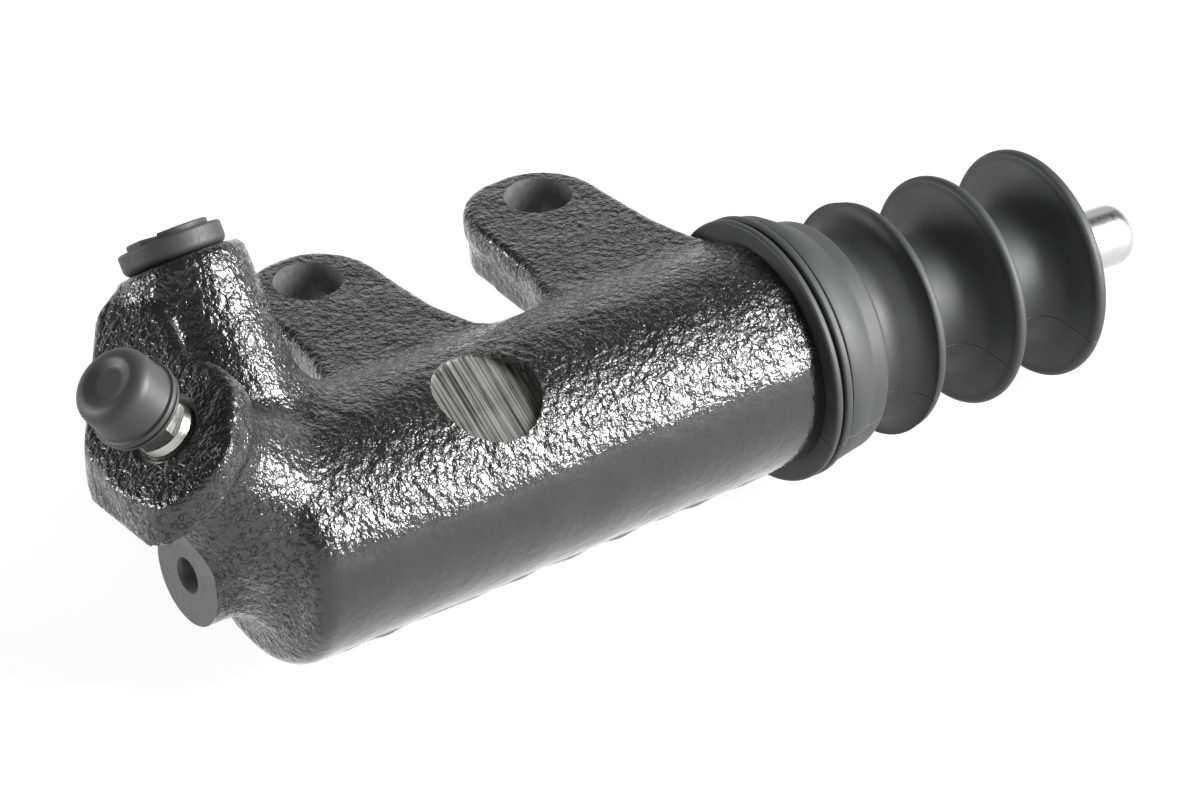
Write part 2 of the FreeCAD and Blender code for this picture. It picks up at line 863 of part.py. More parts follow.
def bellows():
    """Shoulder, neck, folds and the nose that grips the rod, turned about the rod axis."""
    neck_r = boot_neck_dia / 2
    neck_start = boot_neck_x - boot_neck_width / 2
    neck_end = boot_neck_x + boot_neck_width / 2
    bend_r = boot_bend_dia / 2
    shoulder_r = boot_shoulder_dia / 2
    nose_start = boot_nose_x - boot_nose_length / 2
    nose_end = boot_nose_x + boot_nose_length / 2
    nose_r = boot_nose_dia / 2
    bead_start = nose_start + rod_groove_inset + boot_fit
    grip_r = rod_dia / 2 + boot_fit
    bead_r = rod_groove_dia / 2 + boot_fit
    folds, folds_inside = fold_points()
    outside = [
        (boot_bend_x, bend_r, 0),
        (boot_shoulder_x, shoulder_r, boot_shoulder_round),
        (neck_start, neck_r, boot_neck_round),
        (neck_end, neck_r, boot_valley_round),
    ]
    nose = [
        (nose_start, nose_r, boot_nose_round),
        (nose_end, nose_r, boot_nose_round),
        (nose_end, bead_r, 0),
        (bead_start, bead_r, 0),
        (bead_start, grip_r, 0),
        (nose_start - boot_wall / 2, grip_r, 0),
    ]
    inside = [
        (boot_bend_x, bend_r - boot_wall, 0),
        (boot_shoulder_x - boot_wall, shoulder_r - boot_wall, 0),
        (neck_start, neck_r - boot_wall, 0),
        (neck_end, neck_r - boot_wall, 0),
    ]
    wall = outside + folds + nose + folds_inside[::-1] + inside[::-1]
    origin = ball_centre + rod_axis * boot_from_ball
    return placed(turned(wall), lying_along(rod_axis, origin))


def dust_boot():
    return fused([boot_hub(), boot_skirt(), bellows()])


# Bleed screw, cap and plug, drawn along X from the face they sit on


def bleeder_screw():
    """Bleed screw: a cone point, a thread, a hexagon and a barbed nipple, drilled through."""
    thread_r = bleed_thread_dia / 2
    seat_x = -bleed_thread_depth + 2 * face_gap
    nipple_r = screw_nipple_dia / 2
    neck_r = screw_nipple_neck_dia / 2
    point_r = feed_dia / 2 + face_gap
    blank_r = hex_corner_r + screw_hex_bevel
    barb_x = hex_end + screw_neck_length
    drill_x = seat_x + screw_bore_dia
    blank = turned(
        [
            (seat_x - thread_r + point_r, 0, 0),
            (seat_x - thread_r + point_r, point_r, 0),
            (seat_x, thread_r - face_gap, 0),
            (0, thread_r - face_gap, 0),
            (hex_start, thread_r - screw_hex_bevel, 0),
            (hex_start, hex_corner_r - screw_hex_bevel, 0),
            (hex_start + 2 * screw_hex_bevel, blank_r, 0),
            (hex_end - 2 * screw_hex_bevel, blank_r, 0),
            (hex_end, hex_corner_r - screw_hex_bevel, 0),
            (hex_end, neck_r, 0),
            (barb_x, neck_r, 0),
            (barb_x + screw_hex_bevel, nipple_r, 0),
            (screw_tip, neck_r, 0),
            (screw_tip, 0, 0),
        ]
    )
    jacket = Part.makeCylinder(blank_r * 2, screw_hex_height, FreeCAD.Vector(hex_start, 0, 0), X)
    waste = jacket.cut(hexagon(screw_hex, screw_hex_height, hex_start))
    start = FreeCAD.Vector(drill_x, 0, 0)
    drilling = rod_of(screw_bore_dia, start - X * screw_bore_dia / 2, X, screw_tip - drill_x + screw_bore_dia)
    cross = rod_of(screw_cross_hole_dia, start - Y * 2 * thread_r, Y, 4 * thread_r)
    screw = blank.cut([waste, drilling, cross]).removeSplitter()
    return placed(screw, lying_along(bleed_axis, bleed_face))


def hexagon(across_flats, height, start):
    """Six-sided prism along X."""
    radius = across_flats / 2 / cos(30)
    points = []
    for i in range(7):
        points.append(FreeCAD.Vector(start, radius * cos(60 * i), radius * sin(60 * i)))
    return Part.Face(Part.makePolygon(points)).extrude(X * height)


def bleeder_cap():
    """Moulded rubber cap: a domed shell with two lips at its open end."""
    start = hex_end - cap_overlap
    outer = cap_dia / 2
    lip_r = cap_lip_dia / 2
    mouth_r = hex_corner_r + cap_clearance
    cavity_r = screw_nipple_dia / 2 + cap_clearance
    inside = screw_tip + cap_clearance
    end = inside + cap_front_wall
    dimple_r = cap_dimple_dia / 2
    cap = turned(
        [
            (start, mouth_r, 0),
            (start, lip_r, moulded_edge_round),
            (start + cap_lip_width, lip_r, moulded_edge_round),
            (start + cap_lip_width, outer, 0),
            (end, outer, cap_front_round),
            (end, dimple_r, moulded_edge_round),
            (end - cap_dimple_depth, dimple_r - 2 * cap_dimple_depth, moulded_edge_round),
            (end - cap_dimple_depth, 0, 0),
            (inside, 0, 0),
            (inside, cavity_r, 0),
            (hex_end + cap_clearance, cavity_r, 0),
            (hex_end + cap_clearance, mouth_r, 0),
        ]
    )
    return placed(cap, lying_along(bleed_axis, bleed_face))


def port_plug():
    """Moulded transport plug: a hollow stem, a flat head and a raised disc with a slot."""
    head_r = plug_head_dia / 2
    stem_r = port_thread_dia / 2 - plug_stem_clearance
    raise_r = plug_raise_dia / 2
    top = plug_head_thickness
    plug = turned(
        [
            (-plug_stem_length, stem_r - plug_wall, 0),
            (-plug_stem_length, stem_r, moulded_edge_round),
            (face_gap, stem_r, 0),
            (face_gap, head_r, plug_head_round),
            (top, head_r, moulded_edge_round),
            (top, raise_r, 0),
            (top + plug_raise_height, raise_r, moulded_edge_round / 2),
            (top + plug_raise_height, 0, 0),
            (top - plug_wall, 0, 0),
            (top - plug_wall, stem_r - plug_wall, moulded_edge_round),
        ]
    )
    slot = Part.makeBox(
        plug_raise_height + cut_past,
        plug_slot_width,
        plug_head_dia,
        FreeCAD.Vector(top, -plug_slot_width / 2, -plug_head_dia / 2),
    )
    plug = plug.cut(slot)
    return placed(plug, lying_along(port_axis, port_face))


pieces = {
    "piston": piston,
    "primary_cup": primary_cup,
    "secondary_cup": secondary_cup,
    "cup_expander": cup_expander,
    "return_spring": return_spring,
    "stop_ring": stop_ring,
    "pushrod": pushrod,
    "dust_boot": dust_boot,
    "bleeder_screw": bleeder_screw,
    "bleeder_cap": bleeder_cap,
    "port_plug": port_plug,
}

os.makedirs("parts", exist_ok=True)
cylinder_body().exportStep("parts/cylinder_body.step")
for name, make in pieces.items():
    solid = make()
    solid.translate(BORE_AXIS)
    solid.exportStep(f"parts/{name}.step")
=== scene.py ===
import json
import math

import bmesh
import bpy
import numpy as np
from mathutils import Matrix, Vector, noise


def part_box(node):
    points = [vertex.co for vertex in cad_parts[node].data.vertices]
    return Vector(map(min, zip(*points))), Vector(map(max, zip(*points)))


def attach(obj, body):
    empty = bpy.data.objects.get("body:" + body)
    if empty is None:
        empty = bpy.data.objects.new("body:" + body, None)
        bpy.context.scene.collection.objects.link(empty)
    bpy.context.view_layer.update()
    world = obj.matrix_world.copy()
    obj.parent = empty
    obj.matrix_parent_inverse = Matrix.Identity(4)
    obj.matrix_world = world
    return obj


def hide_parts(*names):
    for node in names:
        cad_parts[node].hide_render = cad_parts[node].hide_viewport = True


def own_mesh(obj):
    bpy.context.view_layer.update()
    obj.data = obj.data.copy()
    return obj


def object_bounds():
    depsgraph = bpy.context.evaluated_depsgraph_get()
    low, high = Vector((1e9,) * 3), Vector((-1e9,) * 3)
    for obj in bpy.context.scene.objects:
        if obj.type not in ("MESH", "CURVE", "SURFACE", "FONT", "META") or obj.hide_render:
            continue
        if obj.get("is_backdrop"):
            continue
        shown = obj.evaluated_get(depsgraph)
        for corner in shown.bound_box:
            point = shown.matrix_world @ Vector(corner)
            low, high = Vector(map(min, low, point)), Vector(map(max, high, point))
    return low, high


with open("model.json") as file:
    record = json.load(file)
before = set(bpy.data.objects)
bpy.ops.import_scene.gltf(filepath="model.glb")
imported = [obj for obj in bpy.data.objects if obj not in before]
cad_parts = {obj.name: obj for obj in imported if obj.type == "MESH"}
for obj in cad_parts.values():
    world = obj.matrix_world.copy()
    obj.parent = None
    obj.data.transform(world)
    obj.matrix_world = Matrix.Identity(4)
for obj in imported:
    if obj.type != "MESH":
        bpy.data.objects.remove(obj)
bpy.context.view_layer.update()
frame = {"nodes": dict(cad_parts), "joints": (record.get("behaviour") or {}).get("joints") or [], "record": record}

# The looks of a clutch slave cylinder: a cast iron body in gloss black paint, a rubber
# boot, a bright push rod, a zinc bleed screw under a rubber cap, and a plastic plug.
# All sizes are in metres.

joints = {j["name"]: j for j in frame["joints"]}
mounts = {m["name"]: m for m in frame["record"]["mounts"]}

# Places that the frame gives
X = Vector((1, 0, 0))
Z = Vector((0, 0, 1))
BALL = Vector(joints["pushrod_tilt"]["pos_m"])
BORE_Y = BALL.y
BORE_Z = BALL.z
ROD_AXIS = Vector(mounts["pushrod_tip"]["axis"]).normalized()
BLEED_FACE = Vector(joints["bleeder_screw_turn"]["pos_m"])
BLEED_AXIS = Vector(joints["bleeder_screw_turn"]["axis"]).normalized()
PORT_FACE = Vector(mounts["inlet_port"]["pos_m"])
PORT_AXIS = Vector(joints["port_plug_pull"]["axis"]).normalized()
MOUTH_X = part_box("cylinder_body")[1].x
BOLT_X = mounts["mounting_bolts"]["dims"]["spacing_x_mm"] / 2000
BOLT_HOLE_R = mounts["mounting_bolts"]["dims"]["hole_r_mm"] / 1000

# Fineness of the meshes
SEGMENTS = 96
FINE_SEGMENTS = 128
ROUND_STEPS = 6
MERGE_DISTANCE = 1e-7
SHARP_ANGLE = math.radians(50)

# Casting
END_X = -0.048
STUB_X = END_X - 0.009
STUB_R = 0.0067
BARREL_R_MOUTH = 0.0151
BARREL_R_HEAD = 0.0158
EAR_TOP_Z = 0.009
BOSS_R = 0.0101
BOSS_EDGE = 0.0012

# Machined faces of the casting
BORE_R = 0.01032
BORE_BOTTOM_X = -0.0445
MOUTH_CHAMFER = 0.0008
RING_X = 0.0315
RING_GROOVE_HALF = 0.00085
RING_GROOVE_R = 0.01112
SEAT_R = 0.0145
COLLAR_X = 0.0295
PAD_R = 0.0076
CENTRE_HOLE_R = 0.0019
CENTRE_SINK_R = 0.0024
CENTRE_SINK_DEPTH = 0.0007
CENTRE_DEPTH = 0.0026
CENTRE_TIP = 0.0045
CENTRE_SEGMENTS = 48
SPOT_R = 0.0071
SPOT_TILT = math.radians(23)
SPOT_FLOOR = 0.0133
SPOT_X = -0.016
THREAD_PITCH = 0.001
FEED_R = 0.0016
FEED_LENGTH = 0.003
PORT_THREAD_R = 0.0055
PORT_DEPTH = 0.011
PORT_CHAMFER_R = 0.006
PORT_CHAMFER_DEPTH = 0.0006
PLUG_SEAT_R = 0.0069
BLEED_THREAD_R = 0.00405
BLEED_DEPTH = 0.0125
BLEED_RECESS_R = 0.0049
BLEED_RECESS_DEPTH = 0.0009
BLEED_THREAD_GAP = 0.0002

# Fillers, which carry the rough casting past the faces that are machined
HOLE_FILL_WIDER = 1.1
PORT_FILL_WIDER = 1.15
THREAD_FILL_DEEPER = 0.002
BARREL_FILL_INSET = 0.004
BARREL_FILL_PAST = 0.002
STUB_FILL_INSET = 0.006
STUB_FILL_PAST = 0.003
PAD_FILL_PAST = 0.0025
BOSS_FILL_DEPTH = 0.005

# Cutters, which reach past the casting's skin
MOUTH_CUT_WIDER = 1.3
SEAT_CUT_WIDER = 1.2
PAD_CUT_WIDER = 1.15
CUT_PAST = 0.006
SEAT_CUT_PAST = 0.001
STUB_CUT_EDGE = 0.0003
STUB_CUT_FLARE = 0.0055
CENTRE_CUT_PAST = 0.001
PORT_CUT_PAST = 0.004
BLEED_CUT_PAST = 0.003
SPOT_CUT_HEIGHT = 0.012
HOLE_CUT_PAST = 0.008

# Skin of the casting
CAST_VOXEL = 0.00045
CAST_ROUND_STEPS = 48
CAST_SOFTEN_STEPS = 5
CAST_PULL = 0.5
PEBBLE_SIZE = 0.0016
PEBBLE_DEPTH = 0.00004
PEBBLE_MIDDLE = 0.6
PEBBLE_DRIFT = 0.5
PEBBLE_DRIFT_SCALE = 0.6
WAVE_SIZE = 0.007
WAVE_DEPTH = 0.00012
FLASH_ANGLE = math.radians(33)
FLASH_WIDTH = 0.0007
FLASH_HEIGHT = 0.00045
FLASH_ENDS = (-0.043, 0.027)
FLASH_REACH_R = BARREL_R_HEAD * 1.05
FLASH_RAG_SIZE = 0.004
FLASH_RAG_MIDDLE = 0.55
FLASH_RAG_SWING = 0.9
FLASH_RAG_LEAST = 0.1

# Dust boot, with places along it measured from the barrel's collar
BOOT_SEGMENTS = 144
BOOT_STEPS = 5
FOLD_STEPS = 8
BOOT_WALL = 0.0013
BOOT_FIT = 0.0001
BOOT_GRIP = 0.0047
GRIP_BEAD = 0.0012
GRIP_BEAD_START = 0.0016
GRIP_BEAD_END = 0.0032
RIB_R = 0.0177
RIB_WIDTH = 0.0012
RIB_GAP = 0.0004
RIB_ROUND = 0.0004
SKIRT_R = 0.017
SKIRT_ROUND = 0.0002
BEND_R = 0.0159
BEND_X = 0.0075
BEND_ROUND = 0.004
SHOULDER_R = 0.0154
SHOULDER_X = 0.0103
SHOULDER_ROUND = 0.0012
SHOULDER_INNER_ROUND = 0.001
NECK_R = 0.012
NECK_START = 0.0113
NECK_END = 0.0139
NECK_FILLET = 0.0008
NECK_INNER_ROUND = 0.002
LAP_END = NECK_START + 0.0006
LAP_R = NECK_R - 0.0002
VEIL_START = NECK_START + 0.0005
VEIL_RADII = (0.0114, 0.0104, 0.0096, 0.0088)
VEIL_WALL = 0.0004
FOLDS_START = NECK_START + 0.00065
CRESTS = 3
FIRST_CREST_X = 0.019
CREST_PITCH = 0.01335
CREST_R = 0.0155
CREST_HALF = 0.00085
CREST_ROUND = CREST_HALF * 0.9
CREST_INNER_ROUND = 0.0003
CREST_FOOT_R = 0.0143
CREST_FOOT_ROUND = 0.0024
VALLEY_R = 0.0085
VALLEY_ROUND = 0.004
VALLEY_INNER_ROUND = 0.003
FLANK_LEAN = 0.0018
NOSE_R = 0.0063
NOSE_START = 0.0478
NOSE_END = 0.0514
NOSE_HEEL_ROUND = 0.0003
NOSE_TIP_ROUND = 0.0008
NOSE_BEAD_R = 0.0036
NOSE_BEAD_START = 0.0485
NOSE_JOINT = 0.00005
ROD_GRIP_R = 0.0042
SEAM_ANGLE = math.radians(200)
SEAM_HALF = 0.00016

# Cap of the bleed screw, with places measured from the boss
CAP_START = 0.0048
CAP_END = 0.0121
CAP_R = 0.0054
CAP_FRONT_R = CAP_R * 0.97
CAP_FRONT_ROUND = 0.0019
CAP_DISH_R = 0.0032
CAP_DISH_ROUND = 0.0014
CAP_DISH_DEPTH = 0.0005
CAP_DISH_FLOOR_R = 0.002
CAP_DISH_FLOOR_ROUND = 0.0016
CAP_RIM_R = 0.0057
CAP_RIM_END = CAP_START + 0.0006
CAP_RIM_ROUND = 0.0002
CAP_LIP_R = 0.0059
CAP_LIP_START = CAP_START + 0.0009
CAP_LIP_END = CAP_START + 0.0018
CAP_LIP_ROUND = 0.0003
CAP_INSIDE = 0.00995
CAP_STEP = 0.00575
CAP_MOUTH_R = 0.0042
CAP_CAVITY_R = 0.00315
CAP_STEPS = 8

# Return spring
SPRING_WIRE_R = 0.0007
SPRING_WIRE_POINTS = 12
SPRING_TURNS = 7
SPRING_TURN_POINTS = 32
SPRING_CLOSED_TURNS = 0.7
SPRING_BASE_R = 0.0086
SPRING_TOP_R = 0.0055

# Paint of the casting: sizes and depths in metres, and shares of the skin's relief
PAINT_DARK = (0.008, 0.008, 0.0085)
PAINT_LIGHT = (0.016, 0.016, 0.0165)
PAINT_CLOUD_SIZE = 0.006
PAINT_SHEEN_SIZE = 0.002
RELIEF_DEPTH = 0.0003
GRIT_SIZE = 0.001
GRIT_SHARE = 0.9
SWELL_SIZE = 0.004
SWELL_SHARE = 1.5
CRACK_SIZE = 0.0012
CRACK_SHARE = -0.12
CRACK_HALF = 0.07
CRACK_WARP_SIZE = 0.0011
CRACK_WARP = 0.0006
CRACK_DULL_HALF = 0.05
CRACK_COAT = 0.12
EVEN_COAT = 1.1
SMOOTH_LEVELS = (0.0025, 0.0055)
SMOOTH_RELIEF = 0.16
SMOOTH_RAG = 0.003
SMOOTH_RAG_SIZE = 0.004
ROUGH_END = (END_X + 0.0015, END_X + 0.0002)

# Other materials
NOISE_SPAN = (0.3, 0.7)
MILLED_SPAN = (0.5, 0.9)
MILLED_COLOUR_SPAN = (0.7, 1.0)
MILLED_BROAD_SHARE = 0.4
MILLED_CLOUD_SHARE = 0.3
MILLED_FEED = (-0.101, -0.916, -0.389)
STEEL_DARKER = 0.82
STEEL_ROUGHER = 0.12

# Studio: name, azimuth, elevation, distance, width, height, brightness, seen in reflections
SOFTBOXES = (
    ("key", -46, 22, 0.9, 0.48, 0.585, 26, True),
    ("key_top", -40, 50, 0.9, 0.5, 0.32, 4, True),
    ("left_strip", 150, 10, 0.9, 0.3, 0.34, 14, True),
    ("far_card", 52, 33, 0.9, 0.55, 0.3, 0.75, True),
    ("overhead", 20, 75, 1.2, 1.2, 1.2, 0.6, False),
)
LIT_CENTRE = Vector((0.01, BORE_Y + 0.01, 0))
HORIZON_LEVEL = 0.08
CEILING_LEVEL = 0.62
CEILING_GREY = 0.08
FLOOR_SIZE = 6.0
FLOOR_GAP = 0.0005
FLOOR_GREY = 0.2
FLOOR_GLOW = 0.88

# Camera, fitted to the photograph
CAMERA_PLACE = (-0.386936, -0.587518, 0.419050)
CAMERA_AZIMUTH = math.radians(-35.184)
CAMERA_ELEVATION = math.radians(31.757)
CAMERA_ROLL = math.radians(-1.116)
CAMERA_LENS = 189.215
CAMERA_SENSOR = 36
CAMERA_NEAR = 0.01
CAMERA_FAR = 20


# Meshes


def rounded_path(corners, steps):
    """Points round a closed outline of (x, radius, corner radius) corners."""
    path = []
    count = len(corners)
    for i, (x, r, radius) in enumerate(corners):
        here = Vector((x, r))
        if radius == 0:
            path.append(here)
            continue
        back = (Vector(corners[i - 1][:2]) - here).normalized()
        ahead = (Vector(corners[(i + 1) % count][:2]) - here).normalized()
        half = back.angle(ahead) / 2
        inward = (back + ahead).normalized()
        centre = here + inward * (radius / math.sin(half))
        first = here + back * (radius / math.tan(half)) - centre
        last = here + ahead * (radius / math.tan(half)) - centre
        turn = first.angle_signed(last)
        for k in range(steps + 1):
            step = Matrix.Rotation(-turn * k / steps, 2)
            path.append(centre + step @ first)
    return path


def lathe(name, corners, place, segments=SEGMENTS, steps=ROUND_STEPS):
    """Closed mesh turned from corners about the X axis, each point set by place(x, y, z)."""
    path = rounded_path(corners, steps)
    shape = bmesh.new()
    rings = []
    for k in range(segments):
        turn = 2 * math.pi * k / segments
        ring = [place(x, r * math.cos(turn), r * math.sin(turn)) for x, r in path]
        rings.append([shape.verts.new(p) for p in ring])
    for k in range(segments):
        here = rings[k]
        following = rings[(k + 1) % segments]
        for i in range(len(path)):
            j = (i + 1) % len(path)
            shape.faces.new((here[i], here[j], following[j], following[i]))
    bmesh.ops.remove_doubles(shape, verts=shape.verts, dist=MERGE_DISTANCE)
    bmesh.ops.recalc_face_normals(shape, faces=shape.faces)
    return new_object(name, shape)


def new_object(name, shape):
    """Object of the scene that takes over a bmesh."""
    mesh = bpy.data.meshes.new(name)
    shape.to_mesh(mesh)
    shape.free()
    made = bpy.data.objects.new(name, mesh)
    bpy.context.scene.collection.objects.link(made)
    return made


def along(start, direction):
    """Place for a turned shape whose X axis runs along a direction from a start point."""
    turn = X.rotation_difference(direction)

    def place(x, y, z):
        return start + turn @ Vector((x, y, z))

    return place


def about_bore(x, y, z):
    """Place for a turned shape about the bore's axis."""
    return Vector((x, BORE_Y + y, BORE_Z + z))


def smooth_with_edges(thing):
    """Smooth shading that keeps the sharp edges."""
    mesh = thing.data
    mesh.shade_smooth()
    mesh.set_sharp_from_angle(angle=SHARP_ANGLE)


def apply_modifiers(thing):
    """Puts the mesh that the modifiers make in place of the old one."""
    graph = bpy.context.evaluated_depsgraph_get()
    mesh = bpy.data.meshes.new_from_object(thing.evaluated_get(graph))
    old = thing.data
    thing.modifiers.clear()
    thing.data = mesh
    bpy.data.meshes.remove(old)


# Casting


def barrel_radius(x):
    """Radius of the barrel, which tapers a little from its head to its mouth."""
    share = (x - END_X) / (MOUTH_X - END_X)
    return BARREL_R_HEAD + (BARREL_R_MOUTH - BARREL_R_HEAD) * share


def cylinder_corners(start, end, radius):
    """Corners of a solid cylinder."""
    return [(start, 0, 0), (start, radius, 0), (end, radius, 0), (end, 0, 0)]


def threaded_corners(depth, radius, chamfer):
    """Corners of a tapped hole: feed drilling, cone seat, thread and chamfer, up to its face."""
    thread_start = -depth + 2 * THREAD_PITCH
    feed_start = -depth - radius - FEED_LENGTH
    corners = [
        (feed_start, 0, 0),
        (feed_start, FEED_R, 0),
        (-depth - radius + FEED_R, FEED_R, 0),
        (-depth, radius - THREAD_PITCH / 2, 0),
    ]
    turns = int((-chamfer - thread_start) / THREAD_PITCH)
    for k in range(turns):
        x = thread_start + k * THREAD_PITCH
        corners.append((x, radius - THREAD_PITCH / 2, 0))
        corners.append((x + THREAD_PITCH / 2, radius, 0))
    return corners


def fillers():
    """What is filled before the casting is softened, so that machined faces can be cut crisp."""
    start = END_X + BARREL_FILL_INSET
    end = MOUTH_X + BARREL_FILL_PAST
    barrel = [
        (start, 0, 0),
        (start, barrel_radius(start), 0),
        (end, barrel_radius(end), 0),
        (end, 0, 0),
    ]
    parts = [lathe("barrel_fill", barrel, about_bore)]
    stub = cylinder_corners(STUB_X - STUB_FILL_PAST, STUB_X + STUB_FILL_INSET, STUB_R)
    parts.append(lathe("stub_fill", stub, about_bore))
    for side in (-1, 1):
        base = Vector((side * BOLT_X, 0, 0))
        hole = cylinder_corners(0, EAR_TOP_Z, BOLT_HOLE_R * HOLE_FILL_WIDER)
        pad = cylinder_corners(-PAD_FILL_PAST, EAR_TOP_Z / 2, PAD_R)
        parts.append(lathe("hole_fill", hole, along(base, Z)))
        parts.append(lathe("pad_fill", pad, along(base, Z)))
    port = cylinder_corners(-PORT_DEPTH - THREAD_FILL_DEEPER, 0, PORT_THREAD_R * PORT_FILL_WIDER)
    parts.append(lathe("port_fill", port, along(PORT_FACE, PORT_AXIS)))
    boss = [
        (-BOSS_FILL_DEPTH, 0, 0),
        (-BOSS_FILL_DEPTH, BOSS_R, 0),
        (0, BOSS_R, BOSS_EDGE),
        (0, 0, 0),
    ]
    parts.append(lathe("boss_fill", boss, along(BLEED_FACE, BLEED_AXIS)))
    bleed = cylinder_corners(-BLEED_DEPTH - THREAD_FILL_DEEPER, 0, BLEED_RECESS_R * HOLE_FILL_WIDER)
    parts.append(lathe("bleed_fill", bleed, along(BLEED_FACE, BLEED_AXIS)))
    return parts


def cutters():
    """Machined faces of the casting, each with the finish that it leaves."""
    bore = [
        (BORE_BOTTOM_X, 0, 0),
        (BORE_BOTTOM_X, BORE_R, 0),
        (RING_X - RING_GROOVE_HALF, BORE_R, 0),
        (RING_X - RING_GROOVE_HALF, RING_GROOVE_R, 0),
        (RING_X + RING_GROOVE_HALF, RING_GROOVE_R, 0),
        (RING_X + RING_GROOVE_HALF, BORE_R, 0),
        (MOUTH_X - MOUTH_CHAMFER, BORE_R, 0),
        (MOUTH_X, BORE_R + MOUTH_CHAMFER, 0),
        (MOUTH_X, BARREL_R_HEAD * MOUTH_CUT_WIDER, 0),
        (MOUTH_X + CUT_PAST, BARREL_R_HEAD * MOUTH_CUT_WIDER, 0),
        (MOUTH_X + CUT_PAST, 0, 0),
    ]
    seat_end = MOUTH_X + SEAT_CUT_PAST
    seat = [
        (COLLAR_X, SEAT_R, 0),
        (MOUTH_X - MOUTH_CHAMFER, SEAT_R, 0),
        (seat_end, SEAT_R - MOUTH_CHAMFER - SEAT_CUT_PAST, 0),
        (seat_end, BARREL_R_HEAD * SEAT_CUT_WIDER, 0),
        (COLLAR_X, BARREL_R_HEAD * SEAT_CUT_WIDER, 0),
    ]
    stub = [
        (STUB_X - CUT_PAST, 0, 0),
        (STUB_X - CUT_PAST, STUB_R + STUB_CUT_FLARE, 0),
        (STUB_X, STUB_R + STUB_CUT_EDGE, 0),
        (STUB_X, 0, 0),
    ]
    centre = [
        (STUB_X - CENTRE_CUT_PAST, 0, 0),
        (STUB_X - CENTRE_CUT_PAST, CENTRE_SINK_R, 0),
        (STUB_X, CENTRE_SINK_R, 0),
        (STUB_X + CENTRE_SINK_DEPTH, CENTRE_HOLE_R, 0),
        (STUB_X + CENTRE_DEPTH, CENTRE_HOLE_R, 0),
        (STUB_X + CENTRE_TIP, 0, 0),
    ]
    port = threaded_corners(PORT_DEPTH, PORT_THREAD_R, PORT_CHAMFER_DEPTH)
    port += [
        (0, PORT_CHAMFER_R, 0),
        (0, PLUG_SEAT_R, 0),
        (PORT_CUT_PAST, PLUG_SEAT_R, 0),
        (PORT_CUT_PAST, 0, 0),
    ]
    bleed = threaded_corners(BLEED_DEPTH, BLEED_THREAD_R, BLEED_RECESS_DEPTH + BLEED_THREAD_GAP)
    bleed += [
        (-BLEED_RECESS_DEPTH, BLEED_THREAD_R, 0),
        (-BLEED_RECESS_DEPTH, BLEED_RECESS_R, 0),
        (BLEED_CUT_PAST, BLEED_RECESS_R, 0),
        (BLEED_CUT_PAST, 0, 0),
    ]
    spot_axis = Vector((0, -math.sin(SPOT_TILT), math.cos(SPOT_TILT)))
    spot_start = about_bore(SPOT_X, 0, 0) + spot_axis * SPOT_FLOOR
    spot = cylinder_corners(0, SPOT_CUT_HEIGHT, SPOT_R)
    parts = [
        (lathe("bore_cut", bore, about_bore, FINE_SEGMENTS), bore_finish),
        (lathe("seat_cut", seat, about_bore, FINE_SEGMENTS), bore_finish),
        (lathe("stub_cut", stub, about_bore), turned_paint),
        (lathe("centre_cut", centre, about_bore, CENTRE_SEGMENTS), turned_paint),
        (lathe("port_cut", port, along(PORT_FACE, PORT_AXIS)), bore_finish),
        (lathe("bleed_cut", bleed, along(BLEED_FACE, BLEED_AXIS)), bore_finish),
        (lathe("spot_cut", spot, along(spot_start, spot_axis)), milled_metal),
    ]
    for side in (-1, 1):
        base = Vector((side * BOLT_X, 0, 0))
        pad = cylinder_corners(-CUT_PAST, 0, PAD_R * PAD_CUT_WIDER)
        hole = cylinder_corners(-HOLE_CUT_PAST, EAR_TOP_Z + HOLE_CUT_PAST, BOLT_HOLE_R)
        parts.append((lathe("pad_cut", pad, along(base, Z)), bore_finish))
        parts.append((lathe("hole_cut", hole, along(base, Z)), hole_paint))
    return parts


def cast_body(paint):
    """The casting as it leaves the sand, softened and pebbled, and then machined."""
    source = frame["nodes"]["cylinder_body"]
    shape = bmesh.new()
    shape.from_mesh(source.data)
    for part in fillers():
        shape.from_mesh(part.data)
        bpy.data.objects.remove(part)
    body = new_object("casting", shape)
    remesh = body.modifiers.new("remesh", "REMESH")
    remesh.mode = "VOXEL"
    remesh.voxel_size = CAST_VOXEL
    apply_modifiers(body)
    cast_rounds(body.data)
    pebble(body.data)
    body.data.materials.clear()
    body.data.materials.append(paint)
    for cutter, finish in cutters():
        cutter.data.materials.append(finish)
        cut = body.modifiers.new("cut", "BOOLEAN")
        cut.operation = "DIFFERENCE"
        cut.solver = "EXACT"
        cut.material_mode = "TRANSFER"
        cut.object = cutter
        apply_modifiers(body)
        bpy.data.objects.remove(cutter)
    smooth_with_edges(body)
    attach(body, "cylinder")
    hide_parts("cylinder_body")


